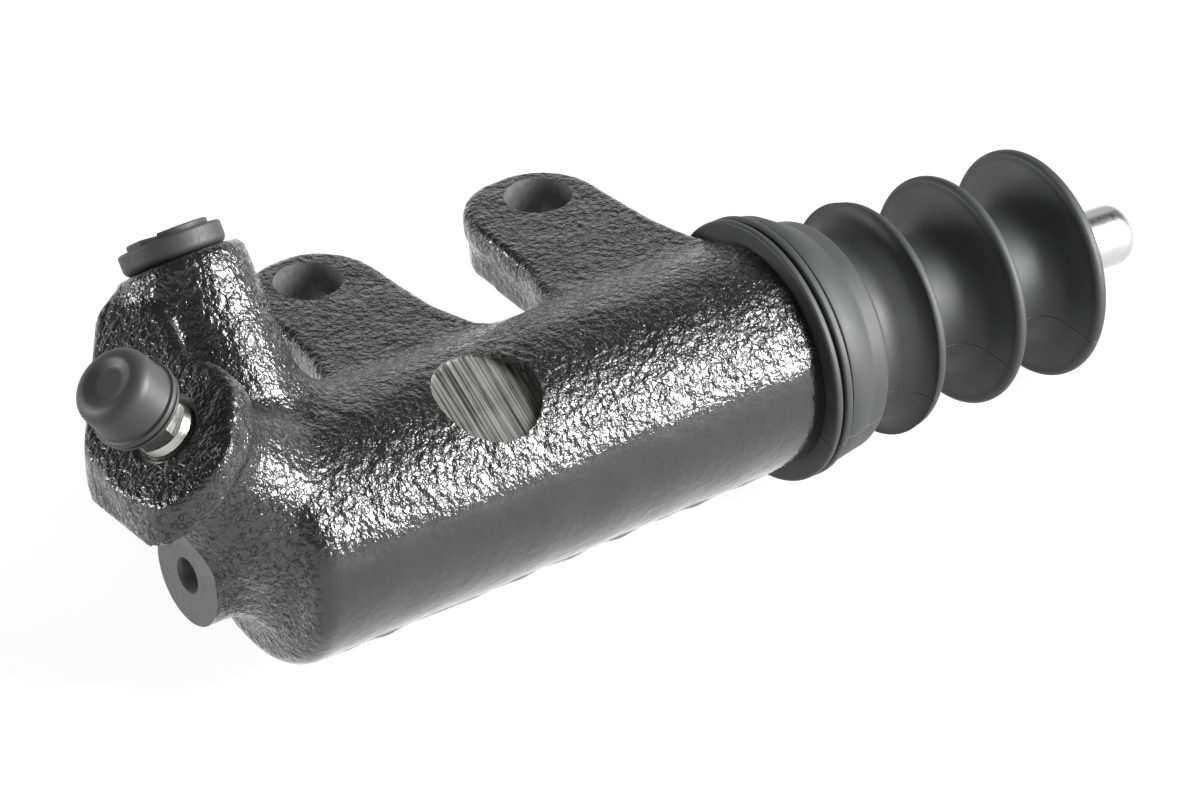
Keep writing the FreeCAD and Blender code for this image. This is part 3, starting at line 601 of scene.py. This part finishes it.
def cast_rounds(mesh):
    """Fills inside corners with cast rounds, and takes the sharpness off outside edges."""
    count = len(mesh.vertices)
    edges = np.empty(len(mesh.edges) * 2, dtype=np.int64)
    mesh.edges.foreach_get("vertices", edges)
    first, second = edges.reshape(-1, 2).T
    neighbours = np.bincount(edges, minlength=count)
    places = np.empty(count * 3)
    mesh.vertices.foreach_get("co", places)
    places = places.reshape(-1, 3)
    for step in range(CAST_ROUND_STEPS + CAST_SOFTEN_STEPS):
        total = np.empty_like(places)
        for k in range(3):
            total[:, k] = np.bincount(first, places[second, k], count)
            total[:, k] += np.bincount(second, places[first, k], count)
        pull = total / neighbours[:, None] - places
        if step < CAST_ROUND_STEPS:
            mesh.vertices.foreach_set("co", places.ravel())
            mesh.update()
            normals = np.empty(count * 3)
            mesh.vertices.foreach_get("normal", normals)
            outward = (pull * normals.reshape(-1, 3)).sum(axis=1)
            pull *= (outward > 0)[:, None]
        places = places + pull * CAST_PULL
    mesh.vertices.foreach_set("co", places.ravel())
    mesh.update()


def pebble(mesh):
    """Raises the skin of the casting in pebbles and waves, and leaves the mould's flash on it."""
    moved = []
    for vertex in mesh.vertices:
        place = vertex.co / PEBBLE_SIZE
        drift = noise.noise_vector(place * PEBBLE_DRIFT_SCALE) * PEBBLE_DRIFT
        nearest = noise.voronoi(place + drift)[0][0]
        height = (PEBBLE_MIDDLE - nearest) * PEBBLE_DEPTH
        height += noise.noise(vertex.co / WAVE_SIZE) * WAVE_DEPTH
        height += flash_height(vertex.co)
        moved.append(vertex.co + vertex.normal * height)
    for vertex, co in zip(mesh.vertices, moved):
        vertex.co = co


def flash_height(co):
    """Height of the thin ragged ridge that the mould's joint leaves along the barrel."""
    across = co.y - BORE_Y
    down = BORE_Z - co.z
    turn = math.atan2(-across, down)
    radius = math.hypot(across, down)
    reach = (turn - FLASH_ANGLE) * radius / FLASH_WIDTH
    in_length = FLASH_ENDS[0] < co.x < FLASH_ENDS[1]
    if abs(reach) > 1 or down < 0 or radius > FLASH_REACH_R or not in_length:
        return 0
    ragged = FLASH_RAG_MIDDLE + FLASH_RAG_SWING * noise.noise(Vector((co.x / FLASH_RAG_SIZE, 0, 0)))
    return FLASH_HEIGHT * max(ragged, FLASH_RAG_LEAST) * (1 - reach * reach)


# Dust boot


def boot_place(x, y, z):
    """A point of the boot: about the bore at its collar, and about the rod from its bend on."""
    from_ball = COLLAR_X - BALL.x
    on_bore = about_bore(COLLAR_X + x, y, z)
    turn = X.rotation_difference(ROD_AXIS)
    on_rod = BALL + turn @ Vector((from_ball + x, y, z))
    share = min(max((x - BOOT_GRIP) / (BEND_X - BOOT_GRIP), 0), 1)
    return on_bore.lerp(on_rod, share)


def veil(depth):
    """Corners of a thin hidden wall about the rod's ball, which shuts the neck as the rod tilts."""
    ball_x = BALL.x - COLLAR_X
    radius = math.hypot(VEIL_START - ball_x, VEIL_RADII[0]) - depth
    return [(ball_x + math.sqrt(radius * radius - r * r), r, 0) for r in VEIL_RADII]


def boot_collar(rubber):
    """Ribbed collar on the barrel and the free wall up to the neck, which stays on the barrel."""
    inner = SEAT_R + BOOT_FIT
    bead = inner - GRIP_BEAD
    groove_r = SKIRT_R - RIB_GAP
    second = RIB_WIDTH + RIB_GAP
    ribs_end = second + RIB_WIDTH
    corners = [
        (BOOT_FIT, inner, 0),
        (BOOT_FIT, RIB_R, RIB_ROUND),
        (RIB_WIDTH, RIB_R, RIB_ROUND),
        (RIB_WIDTH, groove_r, 0),
        (second, groove_r, 0),
        (second, RIB_R, RIB_ROUND),
        (ribs_end, RIB_R, RIB_ROUND),
        (ribs_end, groove_r, 0),
        (ribs_end + RIB_GAP, groove_r, 0),
        (ribs_end + RIB_GAP, SKIRT_R, SKIRT_ROUND),
        (BOOT_GRIP, SKIRT_R, 0),
        (BEND_X, BEND_R, BEND_ROUND),
        (SHOULDER_X, SHOULDER_R, SHOULDER_ROUND),
        (NECK_START, NECK_R + NECK_FILLET, NECK_FILLET),
        (LAP_END, LAP_R, 0),
        *veil(0),
        *veil(VEIL_WALL)[::-1],
        (NECK_START - VEIL_WALL, NECK_R - BOOT_WALL, 0),
        (SHOULDER_X - BOOT_WALL, SHOULDER_R - BOOT_WALL, SHOULDER_INNER_ROUND),
        (BEND_X, BEND_R - BOOT_WALL, 0),
        (BOOT_GRIP, inner, 0),
        (GRIP_BEAD_END, inner, 0),
        (GRIP_BEAD_END, bead, 0),
        (GRIP_BEAD_START, bead, 0),
        (GRIP_BEAD_START, inner, 0),
    ]
    collar = lathe("boot_collar", corners, boot_place, BOOT_SEGMENTS, BOOT_STEPS)
    boot_finish(collar, rubber, "cylinder")


def boot_folds(rubber):
    """The three folds, which ride on the rod."""
    outer = [
        (FOLDS_START, NECK_R, 0),
        (NECK_END, NECK_R, VALLEY_ROUND),
    ]
    inner = [
        (FOLDS_START, NECK_R - BOOT_WALL, 0),
        (NECK_END, NECK_R - BOOT_WALL, NECK_INNER_ROUND),
    ]
    lean = CREST_HALF + FLANK_LEAN
    for i in range(CRESTS):
        crest_x = FIRST_CREST_X + i * CREST_PITCH
        if i > 0:
            outer.append((crest_x - lean, VALLEY_R, VALLEY_ROUND))
            inner.append((crest_x - lean + BOOT_WALL, VALLEY_R - BOOT_WALL, VALLEY_INNER_ROUND))
        outer.append((crest_x - CREST_HALF, CREST_FOOT_R, CREST_FOOT_ROUND))
        outer.append((crest_x - CREST_HALF, CREST_R, CREST_ROUND))
        outer.append((crest_x + CREST_HALF, CREST_R, CREST_ROUND))
        inner.append((crest_x, CREST_FOOT_R - BOOT_WALL / 2, CREST_INNER_ROUND))
        if i < CRESTS - 1:
            outer.append((crest_x + CREST_HALF, CREST_FOOT_R, CREST_FOOT_ROUND))
            outer.append((crest_x + lean, VALLEY_R, VALLEY_ROUND))
            inner.append((crest_x + lean - BOOT_WALL, VALLEY_R - BOOT_WALL, VALLEY_INNER_ROUND))
    outer.append((NOSE_START - NOSE_JOINT, NOSE_R, 0))
    inner.append((NOSE_START - NOSE_JOINT, NOSE_R - BOOT_WALL, 0))
    folds = lathe("boot_folds", outer + inner[::-1], boot_place, BOOT_SEGMENTS, FOLD_STEPS)
    boot_finish(folds, rubber, "pushrod")
    anchor = boot_place(NOSE_START, 0, 0)
    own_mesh(folds)


def boot_nose(rubber):
    """The nose that grips the rod in its groove."""
    corners = [
        (NOSE_START, NOSE_R, NOSE_HEEL_ROUND),
        (NOSE_END, NOSE_R, NOSE_TIP_ROUND),
        (NOSE_END, NOSE_BEAD_R, 0),
        (NOSE_BEAD_START, NOSE_BEAD_R, 0),
        (NOSE_BEAD_START, ROD_GRIP_R, 0),
        (NOSE_START, ROD_GRIP_R, 0),
    ]
    nose = lathe("boot_nose", corners, boot_place, BOOT_SEGMENTS, BOOT_STEPS)
    boot_finish(nose, rubber, "pushrod")


def boot_finish(piece, rubber, body):
    """What every part of the boot gets, and the body that it rides on."""
    smooth_with_edges(piece)
    piece.data.materials.append(rubber)
    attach(piece, body)
    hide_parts("dust_boot")


# Cap of the bleed screw


def screw_cap(rubber):
    """Moulded cap with a dished front and two lips round its open end."""
    corners = [
        (CAP_START, CAP_MOUTH_R, 0),
        (CAP_START, CAP_RIM_R, CAP_LIP_ROUND),
        (CAP_RIM_END, CAP_RIM_R, CAP_RIM_ROUND),
        (CAP_RIM_END, CAP_R, 0),
        (CAP_LIP_START, CAP_R, 0),
        (CAP_LIP_START, CAP_LIP_R, CAP_LIP_ROUND),
        (CAP_LIP_END, CAP_LIP_R, CAP_LIP_ROUND),
        (CAP_LIP_END, CAP_R, CAP_LIP_ROUND),
        (CAP_END, CAP_FRONT_R, CAP_FRONT_ROUND),
        (CAP_END, CAP_DISH_R, CAP_DISH_ROUND),
        (CAP_END - CAP_DISH_DEPTH, CAP_DISH_FLOOR_R, CAP_DISH_FLOOR_ROUND),
        (CAP_END - CAP_DISH_DEPTH, 0, 0),
        (CAP_INSIDE, 0, 0),
        (CAP_INSIDE, CAP_CAVITY_R, 0),
        (CAP_STEP, CAP_CAVITY_R, 0),
        (CAP_STEP, CAP_MOUTH_R, 0),
    ]
    cap = lathe("screw_cap", corners, along(BLEED_FACE, BLEED_AXIS), FINE_SEGMENTS, CAP_STEPS)
    smooth_with_edges(cap)
    cap.data.materials.append(rubber)
    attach(cap, "bleeder_cap")
    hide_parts("bleeder_cap")


# Return spring


def spring_coil(steel):
    """Tapered coil with closed ends, which stays with the cylinder."""
    low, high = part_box("return_spring")
    start = low.x + SPRING_WIRE_R
    end = high.x - SPRING_WIRE_R
    count = SPRING_TURNS * SPRING_TURN_POINTS
    open_turns = SPRING_TURNS - 2 * SPRING_CLOSED_TURNS
    shape = bmesh.new()
    rings = []
    for k in range(count + 1):
        turns = k / SPRING_TURN_POINTS
        open_share = min(max((turns - SPRING_CLOSED_TURNS) / open_turns, 0), 1)
        x = start + (end - start) * open_share
        r = SPRING_BASE_R + (SPRING_TOP_R - SPRING_BASE_R) * open_share
        a = 2 * math.pi * turns
        centre = about_bore(x, r * math.cos(a), r * math.sin(a))
        out = Vector((0, math.cos(a), math.sin(a)))
        ring = []
        for i in range(SPRING_WIRE_POINTS):
            b = 2 * math.pi * i / SPRING_WIRE_POINTS
            offset = (out * math.cos(b) + X * math.sin(b)) * SPRING_WIRE_R
            ring.append(shape.verts.new(centre + offset))
        rings.append(ring)
    for here, following in zip(rings, rings[1:]):
        for i in range(SPRING_WIRE_POINTS):
            j = (i + 1) % SPRING_WIRE_POINTS
            shape.faces.new((here[i], here[j], following[j], following[i]))
    shape.faces.new(rings[0])
    shape.faces.new(rings[-1][::-1])
    bmesh.ops.recalc_face_normals(shape, faces=shape.faces)
    coil = new_object("spring_coil", shape)
    smooth_with_edges(coil)
    coil.data.materials.append(steel)
    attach(coil, "cylinder")
    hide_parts("return_spring")
    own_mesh(coil)


# Materials


class Shader:
    """Adds and links the nodes of one material."""

    def __init__(self, name, **values):
        self.material = bpy.data.materials.new(name)
        self.material.use_nodes = True
        self.nodes = self.material.node_tree.nodes
        self.links = self.material.node_tree.links
        self.surface = self.nodes["Principled BSDF"]
        for socket, value in values.items():
            self.surface.inputs[socket.replace("_", " ")].default_value = value
        self.place = self.nodes.new("ShaderNodeTexCoord").outputs["Object"]

    def put(self, value, socket):
        """Links a socket, or sets a number or a colour."""
        if isinstance(value, bpy.types.NodeSocket):
            self.links.new(value, socket)
        elif value is not None:
            socket.default_value = value

    def maths(self, operation, first, second=None, third=None):
        """Result of an operation on one to three numbers or sockets."""
        node = self.nodes.new("ShaderNodeMath")
        node.operation = operation
        for value, socket in zip((first, second, third), node.inputs):
            self.put(value, socket)
        return node.outputs[0]

    def vector(self, operation, first, second):
        """Result of an operation on two vectors."""
        node = self.nodes.new("ShaderNodeVectorMath")
        node.operation = operation
        self.put(first, node.inputs[0])
        self.put(second, node.inputs[1])
        return node.outputs[0]

    def noise(self, size, detail=2.0, roughness=0.5, place=None):
        """Noise from 0 to 1 with features of about a size in metres."""
        node = self.nodes.new("ShaderNodeTexNoise")
        self.put(place or self.place, node.inputs["Vector"])
        node.inputs["Scale"].default_value = 1 / size
        node.inputs["Detail"].default_value = detail
        node.inputs["Roughness"].default_value = roughness
        return node.outputs["Fac"]

    def warped(self, size, amount):
        """Coordinates pushed about by noise, so that lines in them run uneven."""
        node = self.nodes.new("ShaderNodeTexNoise")
        self.put(self.place, node.inputs["Vector"])
        node.inputs["Scale"].default_value = 1 / size
        node.inputs["Detail"].default_value = 2
        centred = self.vector("SUBTRACT", node.outputs["Color"], (0.5, 0.5, 0.5))
        scaled = self.vector("MULTIPLY", centred, (amount, amount, amount))
        return self.vector("ADD", self.place, scaled)

    def marks(self, direction, across, length, detail=3, roughness=0.6):
        """Noise drawn out along a direction into brushed or milled marks."""
        node = self.nodes.new("ShaderNodeMapping")
        node.vector_type = "TEXTURE"
        self.put(self.place, node.inputs["Vector"])
        node.inputs["Rotation"].default_value = Vector(direction).to_track_quat("X", "Z").to_euler()
        node.inputs["Scale"].default_value = (length, across, across)
        return self.noise(1.0, detail, roughness, node.outputs["Vector"])

    def from_plane(self, point, normal):
        """Distance from a plane."""
        node = self.nodes.new("ShaderNodeVectorMath")
        node.operation = "DOT_PRODUCT"
        self.put(self.vector("SUBTRACT", self.place, point), node.inputs[0])
        self.put(normal, node.inputs[1])
        return self.maths("ABSOLUTE", node.outputs["Value"])

    def place_along(self, axis):
        """Place in metres along X, Y or Z."""
        node = self.nodes.new("ShaderNodeSeparateXYZ")
        self.put(self.place, node.inputs[0])
        return node.outputs[axis]

    def spread(self, value, from_low, from_high, to_low, to_high):
        """Value carried over from one range to another, and held at the ends of it."""
        node = self.nodes.new("ShaderNodeMapRange")
        self.put(value, node.inputs["Value"])
        node.inputs["From Min"].default_value = from_low
        node.inputs["From Max"].default_value = from_high
        node.inputs["To Min"].default_value = to_low
        node.inputs["To Max"].default_value = to_high
        return node.outputs["Result"]

    def colour(self, share, dark, light):
        """Base colour that goes from dark to light with a share."""
        node = self.nodes.new("ShaderNodeMix")
        node.data_type = "RGBA"
        self.put(share, node.inputs[0])
        node.inputs[6].default_value = (*dark, 1)
        node.inputs[7].default_value = (*light, 1)
        self.put(node.outputs[2], self.surface.inputs["Base Color"])

    def rough(self, value, low, high, span=NOISE_SPAN):
        """Roughness that goes from low to high over the usual span of a noise."""
        self.put(self.spread(value, *span, low, high), self.surface.inputs["Roughness"])

    def bump(self, height, depth, strength=1.0, coat=False):
        """Bumps of a depth in metres where the height goes from 0 to 1."""
        node = self.nodes.new("ShaderNodeBump")
        self.put(strength, node.inputs["Strength"])
        node.inputs["Distance"].default_value = depth
        self.put(height, node.inputs["Height"])
        self.put(node.outputs["Normal"], self.surface.inputs["Normal"])
        if coat:
            self.put(node.outputs["Normal"], self.surface.inputs["Coat Normal"])


def casting_paint():
    """Gloss black paint on rough sand-cast iron, which filled the pits low on the barrel."""
    shader = Shader(
        "gloss_paint_on_cast_iron", Coat_Roughness=0.06, Coat_IOR=1.6, Specular_IOR_Level=0.15
    )
    warped = shader.warped(CRACK_WARP_SIZE, CRACK_WARP)
    lines = shader.noise(CRACK_SIZE, detail=2, roughness=0.6, place=warped)
    line = shader.maths("ABSOLUTE", shader.maths("SUBTRACT", lines, 0.5))
    crack = shader.spread(line, 0.0, CRACK_HALF, 1.0, 0.0)
    grit = shader.noise(GRIT_SIZE, detail=2, roughness=0.5)
    swell = shader.noise(SWELL_SIZE, detail=3)
    height = shader.maths("MULTIPLY", grit, GRIT_SHARE)
    height = shader.maths("MULTIPLY_ADD", crack, CRACK_SHARE, height)
    height = shader.maths("MULTIPLY_ADD", swell, SWELL_SHARE, height)
    lengthwise = shader.place_along("X")
    level = shader.place_along("Z")
    ragged = shader.maths("MULTIPLY_ADD", shader.noise(SMOOTH_RAG_SIZE, detail=3), SMOOTH_RAG, level)
    low = shader.spread(ragged, *SMOOTH_LEVELS, SMOOTH_RELIEF, 1.0)
    strength = shader.maths("MAXIMUM", low, shader.spread(lengthwise, *ROUGH_END, 0.0, 1.0))
    shader.bump(height, RELIEF_DEPTH, strength, coat=True)
    even = shader.maths("SUBTRACT", EVEN_COAT, strength)
    thin = shader.maths("MAXIMUM", even, shader.spread(line, 0.0, CRACK_DULL_HALF, CRACK_COAT, 1.0))
    shader.put(thin, shader.surface.inputs["Coat Weight"])
    shader.colour(shader.noise(PAINT_CLOUD_SIZE, detail=4), PAINT_DARK, PAINT_LIGHT)
    shader.rough(shader.noise(PAINT_SHEEN_SIZE, detail=3), low=0.25, high=0.4)
    return shader.material


def bore_paint():
    """Bare dark iron inside bores and on the machined seats."""
    shader = Shader("bare_iron", Metallic=0.7)
    marks = shader.marks((0, 0, 1), across=0.0004, length=0.006)
    shader.colour(marks, dark=(0.10, 0.10, 0.10), light=(0.22, 0.22, 0.215))
    shader.rough(marks, low=0.35, high=0.5)
    shader.bump(marks, depth=0.00003)
    return shader.material


def painted_hole():
    """Paint that ran thin into the drilled fixing holes."""
    shader = Shader("paint_in_holes", Coat_Weight=0.3)
    grain = shader.noise(size=0.0009, detail=4, roughness=0.6)
    shader.colour(grain, dark=(0.05, 0.05, 0.05), light=(0.16, 0.16, 0.16))
    shader.rough(grain, low=0.4, high=0.6)
    shader.bump(grain, depth=0.00012)
    return shader.material


def painted_face():
    """Turned face under one thin coat of paint."""
    shader = Shader("paint_on_turned_face", Coat_Weight=0.3, Coat_Roughness=0.3)
    grain = shader.noise(size=0.0011, detail=3, roughness=0.5)
    cloud = shader.noise(size=0.004, detail=4)
    shader.colour(cloud, dark=(0.05, 0.05, 0.05), light=(0.085, 0.085, 0.085))
    shader.rough(grain, low=0.4, high=0.55)
    shader.bump(grain, depth=0.00003)
    return shader.material


def milled_spot():
    """Bare iron with the straight marks of a face mill."""
    shader = Shader("milled_iron", Metallic=1.0)
    marks = shader.marks(MILLED_FEED, across=0.00024, length=0.02, detail=2)
    broad = shader.marks(MILLED_FEED, across=0.0009, length=0.03, detail=2, roughness=0.5)
    cloud = shader.noise(size=0.0045, detail=2)
    both = shader.maths("MULTIPLY_ADD", broad, MILLED_BROAD_SHARE, marks)
    shown = shader.maths("MULTIPLY_ADD", cloud, MILLED_CLOUD_SHARE, both)
    bright = shader.spread(shown, *MILLED_COLOUR_SPAN, 0, 1)
    shader.colour(bright, dark=(0.06, 0.06, 0.06), light=(0.42, 0.42, 0.41))
    shader.rough(both, low=0.6, high=0.5, span=MILLED_SPAN)
    shader.bump(both, depth=0.00005)
    return shader.material


def rubber(name, dark, light, low_rough, high_rough, grain_depth, seam=None):
    """Satin moulded rubber with a fine grain, faint bloom and, on a seam's plane, a parting line."""
    shader = Shader(name, Specular_IOR_Level=0.5)
    bloom = shader.noise(size=0.005, detail=5, roughness=0.6)
    height = shader.noise(size=0.00025, detail=3, roughness=0.6)
    shader.colour(bloom, dark, light)
    shader.rough(bloom, low_rough, high_rough)
    if seam:
        line = shader.spread(shader.from_plane(*seam), 0.0, SEAM_HALF, 1.0, 0.0)
        height = shader.maths("MULTIPLY_ADD", line, SEAM_HALF / grain_depth, height)
    shader.bump(height, grain_depth)
    return shader.material


def bright_steel(name, light, direction, rough, mark_depth):
    """Bright turned steel with fine marks across an axis."""
    shader = Shader(name, Metallic=1.0)
    marks = shader.marks(Vector(direction).orthogonal(), across=0.00025, length=0.01)
    cloud = shader.noise(size=0.003, detail=3)
    dark = tuple(STEEL_DARKER * c for c in light)
    shader.colour(cloud, dark, light)
    shader.rough(marks, rough, rough + STEEL_ROUGHER)
    shader.bump(marks, mark_depth)
    return shader.material


def plain_plastic():
    """Moulded plastic with a fine grain."""
    shader = Shader("moulded_plastic")
    grain = shader.noise(size=0.0004, detail=3)
    cloud = shader.noise(size=0.004, detail=3)
    shader.colour(cloud, dark=(0.03, 0.03, 0.031), light=(0.042, 0.042, 0.043))
    shader.rough(grain, low=0.5, high=0.62)
    shader.bump(grain, depth=0.00002)
    return shader.material


def finish_node(name, material):
    """Gives a carried-over node its material."""
    node = frame["nodes"][name]
    node.data.materials.clear()
    node.data.materials.append(material)


# Light, floor and camera


def softbox(name, azimuth, elevation, distance, width, height, brightness, glossy):
    """Area light that faces the object, set by its brightness as seen."""
    light = bpy.data.lights.new(name, "AREA")
    light.shape = "RECTANGLE"
    light.size = width
    light.size_y = height
    light.energy = brightness * math.pi * width * height
    lamp = bpy.data.objects.new(name, light)
    bpy.context.scene.collection.objects.link(lamp)
    a = math.radians(azimuth)
    e = math.radians(elevation)
    back = Vector((math.cos(a) * math.cos(e), math.sin(a) * math.cos(e), math.sin(e)))
    lamp.location = LIT_CENTRE + back * distance
    lamp.rotation_mode = "QUATERNION"
    lamp.rotation_quaternion = back.to_track_quat("Z", "Y")
    lamp.visible_glossy = glossy
    lamp.visible_camera = False


def studio():
    """Large soft lights, a white horizon and a darker ceiling."""
    for values in SOFTBOXES:
        softbox(*values)
    world = bpy.data.worlds.new("studio")
    bpy.context.scene.world = world
    world.use_nodes = True
    nodes = world.node_tree.nodes
    links = world.node_tree.links
    place = nodes.new("ShaderNodeTexCoord")
    split = nodes.new("ShaderNodeSeparateXYZ")
    ramp = nodes.new("ShaderNodeValToRGB")
    links.new(place.outputs["Generated"], split.inputs[0])
    links.new(split.outputs["Z"], ramp.inputs["Fac"])
    stops = ramp.color_ramp.elements
    stops[0].position = HORIZON_LEVEL
    stops[0].color = (1, 1, 1, 1)
    stops[1].position = CEILING_LEVEL
    stops[1].color = (CEILING_GREY, CEILING_GREY, CEILING_GREY, 1)
    links.new(ramp.outputs["Color"], nodes["Background"].inputs["Color"])


def floor():
    """Plain white floor just under the object, which glows to the eye and in reflections."""
    shape = bmesh.new()
    bmesh.ops.create_grid(shape, x_segments=1, y_segments=1, size=FLOOR_SIZE)
    plane = new_object("floor", shape)
    plane.location.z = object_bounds()[0].z - FLOOR_GAP
    material = bpy.data.materials.new("white_floor")
    material.use_nodes = True
    nodes = material.node_tree.nodes
    links = material.node_tree.links
    surface = nodes["Principled BSDF"]
    surface.inputs["Base Color"].default_value = (FLOOR_GREY, FLOOR_GREY, FLOOR_GREY, 1)
    surface.inputs["Roughness"].default_value = 0.9
    surface.inputs["Specular IOR Level"].default_value = 0.1
    surface.inputs["Emission Color"].default_value = (1, 1, 1, 1)
    path = nodes.new("ShaderNodeLightPath")
    camera_or_glossy = nodes.new("ShaderNodeMath")
    camera_or_glossy.operation = "MAXIMUM"
    seen = nodes.new("ShaderNodeMath")
    seen.operation = "MAXIMUM"
    glow = nodes.new("ShaderNodeMath")
    glow.operation = "MULTIPLY"
    glow.inputs[1].default_value = FLOOR_GLOW
    links.new(path.outputs["Is Camera Ray"], camera_or_glossy.inputs[0])
    links.new(path.outputs["Is Glossy Ray"], camera_or_glossy.inputs[1])
    links.new(camera_or_glossy.outputs[0], seen.inputs[0])
    links.new(path.outputs["Is Transmission Ray"], seen.inputs[1])
    links.new(seen.outputs[0], glow.inputs[0])
    links.new(glow.outputs[0], surface.inputs["Emission Strength"])
    plane.data.materials.append(material)
    plane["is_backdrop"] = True


def camera():
    """Camera at the photograph's place."""
    data = bpy.data.cameras.new("camera")
    data.sensor_width = CAMERA_SENSOR
    data.lens = CAMERA_LENS
    data.clip_start = CAMERA_NEAR
    data.clip_end = CAMERA_FAR
    eye = bpy.data.objects.new("camera", data)
    bpy.context.scene.collection.objects.link(eye)
    a = CAMERA_AZIMUTH
    e = CAMERA_ELEVATION
    right = Vector((math.cos(a), math.sin(a), 0))
    up = Vector((-math.sin(a) * math.sin(e), math.cos(a) * math.sin(e), math.cos(e)))
    back = right.cross(up)
    level = Matrix((right, up, back)).transposed()
    rolled = (level @ Matrix.Rotation(CAMERA_ROLL, 3, "Z")).to_4x4()
    eye.matrix_world = Matrix.Translation(CAMERA_PLACE) @ rolled
    bpy.context.scene.camera = eye


bore_finish = bore_paint()
turned_paint = painted_face()
milled_metal = milled_spot()
hole_paint = painted_hole()
seam_out = Vector((0, math.cos(SEAM_ANGLE), math.sin(SEAM_ANGLE)))
boot_seam = (BALL, ROD_AXIS.cross(seam_out).normalized())
boot_rubber = rubber(
    "boot_rubber",
    dark=(0.028, 0.0285, 0.029),
    light=(0.042, 0.0425, 0.043),
    low_rough=0.5,
    high_rough=0.6,
    grain_depth=0.00002,
    seam=boot_seam,
)
seal_rubber = rubber(
    "seal_rubber",
    dark=(0.015, 0.015, 0.015),
    light=(0.028, 0.028, 0.028),
    low_rough=0.35,
    high_rough=0.5,
    grain_depth=0.00001,
)
cap_rubber = rubber(
    "cap_rubber",
    dark=(0.032, 0.032, 0.032),
    light=(0.045, 0.045, 0.045),
    low_rough=0.42,
    high_rough=0.52,
    grain_depth=0.00001,
)
spring_steel = bright_steel(
    "spring_steel", light=(0.4, 0.4, 0.42), direction=X, rough=0.3, mark_depth=0.000005
)
rod_steel = bright_steel(
    "rod_steel", light=(0.6, 0.6, 0.6), direction=ROD_AXIS, rough=0.24, mark_depth=0.000006
)
zinc = bright_steel(
    "zinc_plate", light=(0.55, 0.55, 0.54), direction=BLEED_AXIS, rough=0.24, mark_depth=0.00002
)
anodised = bright_steel(
    "anodised_aluminium", light=(0.55, 0.55, 0.57), direction=X, rough=0.35, mark_depth=0.000006
)

cast_body(casting_paint())
boot_collar(boot_rubber)
boot_folds(boot_rubber)
boot_nose(boot_rubber)
spring_coil(spring_steel)
screw_cap(cap_rubber)
finish_node("piston", anodised)
finish_node("primary_cup", seal_rubber)
finish_node("secondary_cup", seal_rubber)
finish_node("cup_expander", spring_steel)
finish_node("stop_ring", spring_steel)
finish_node("pushrod", rod_steel)
finish_node("bleeder_screw", zinc)
finish_node("port_plug", plain_plastic())

floor()
studio()
camera()
bpy.context.scene.view_settings.view_transform = "Standard"
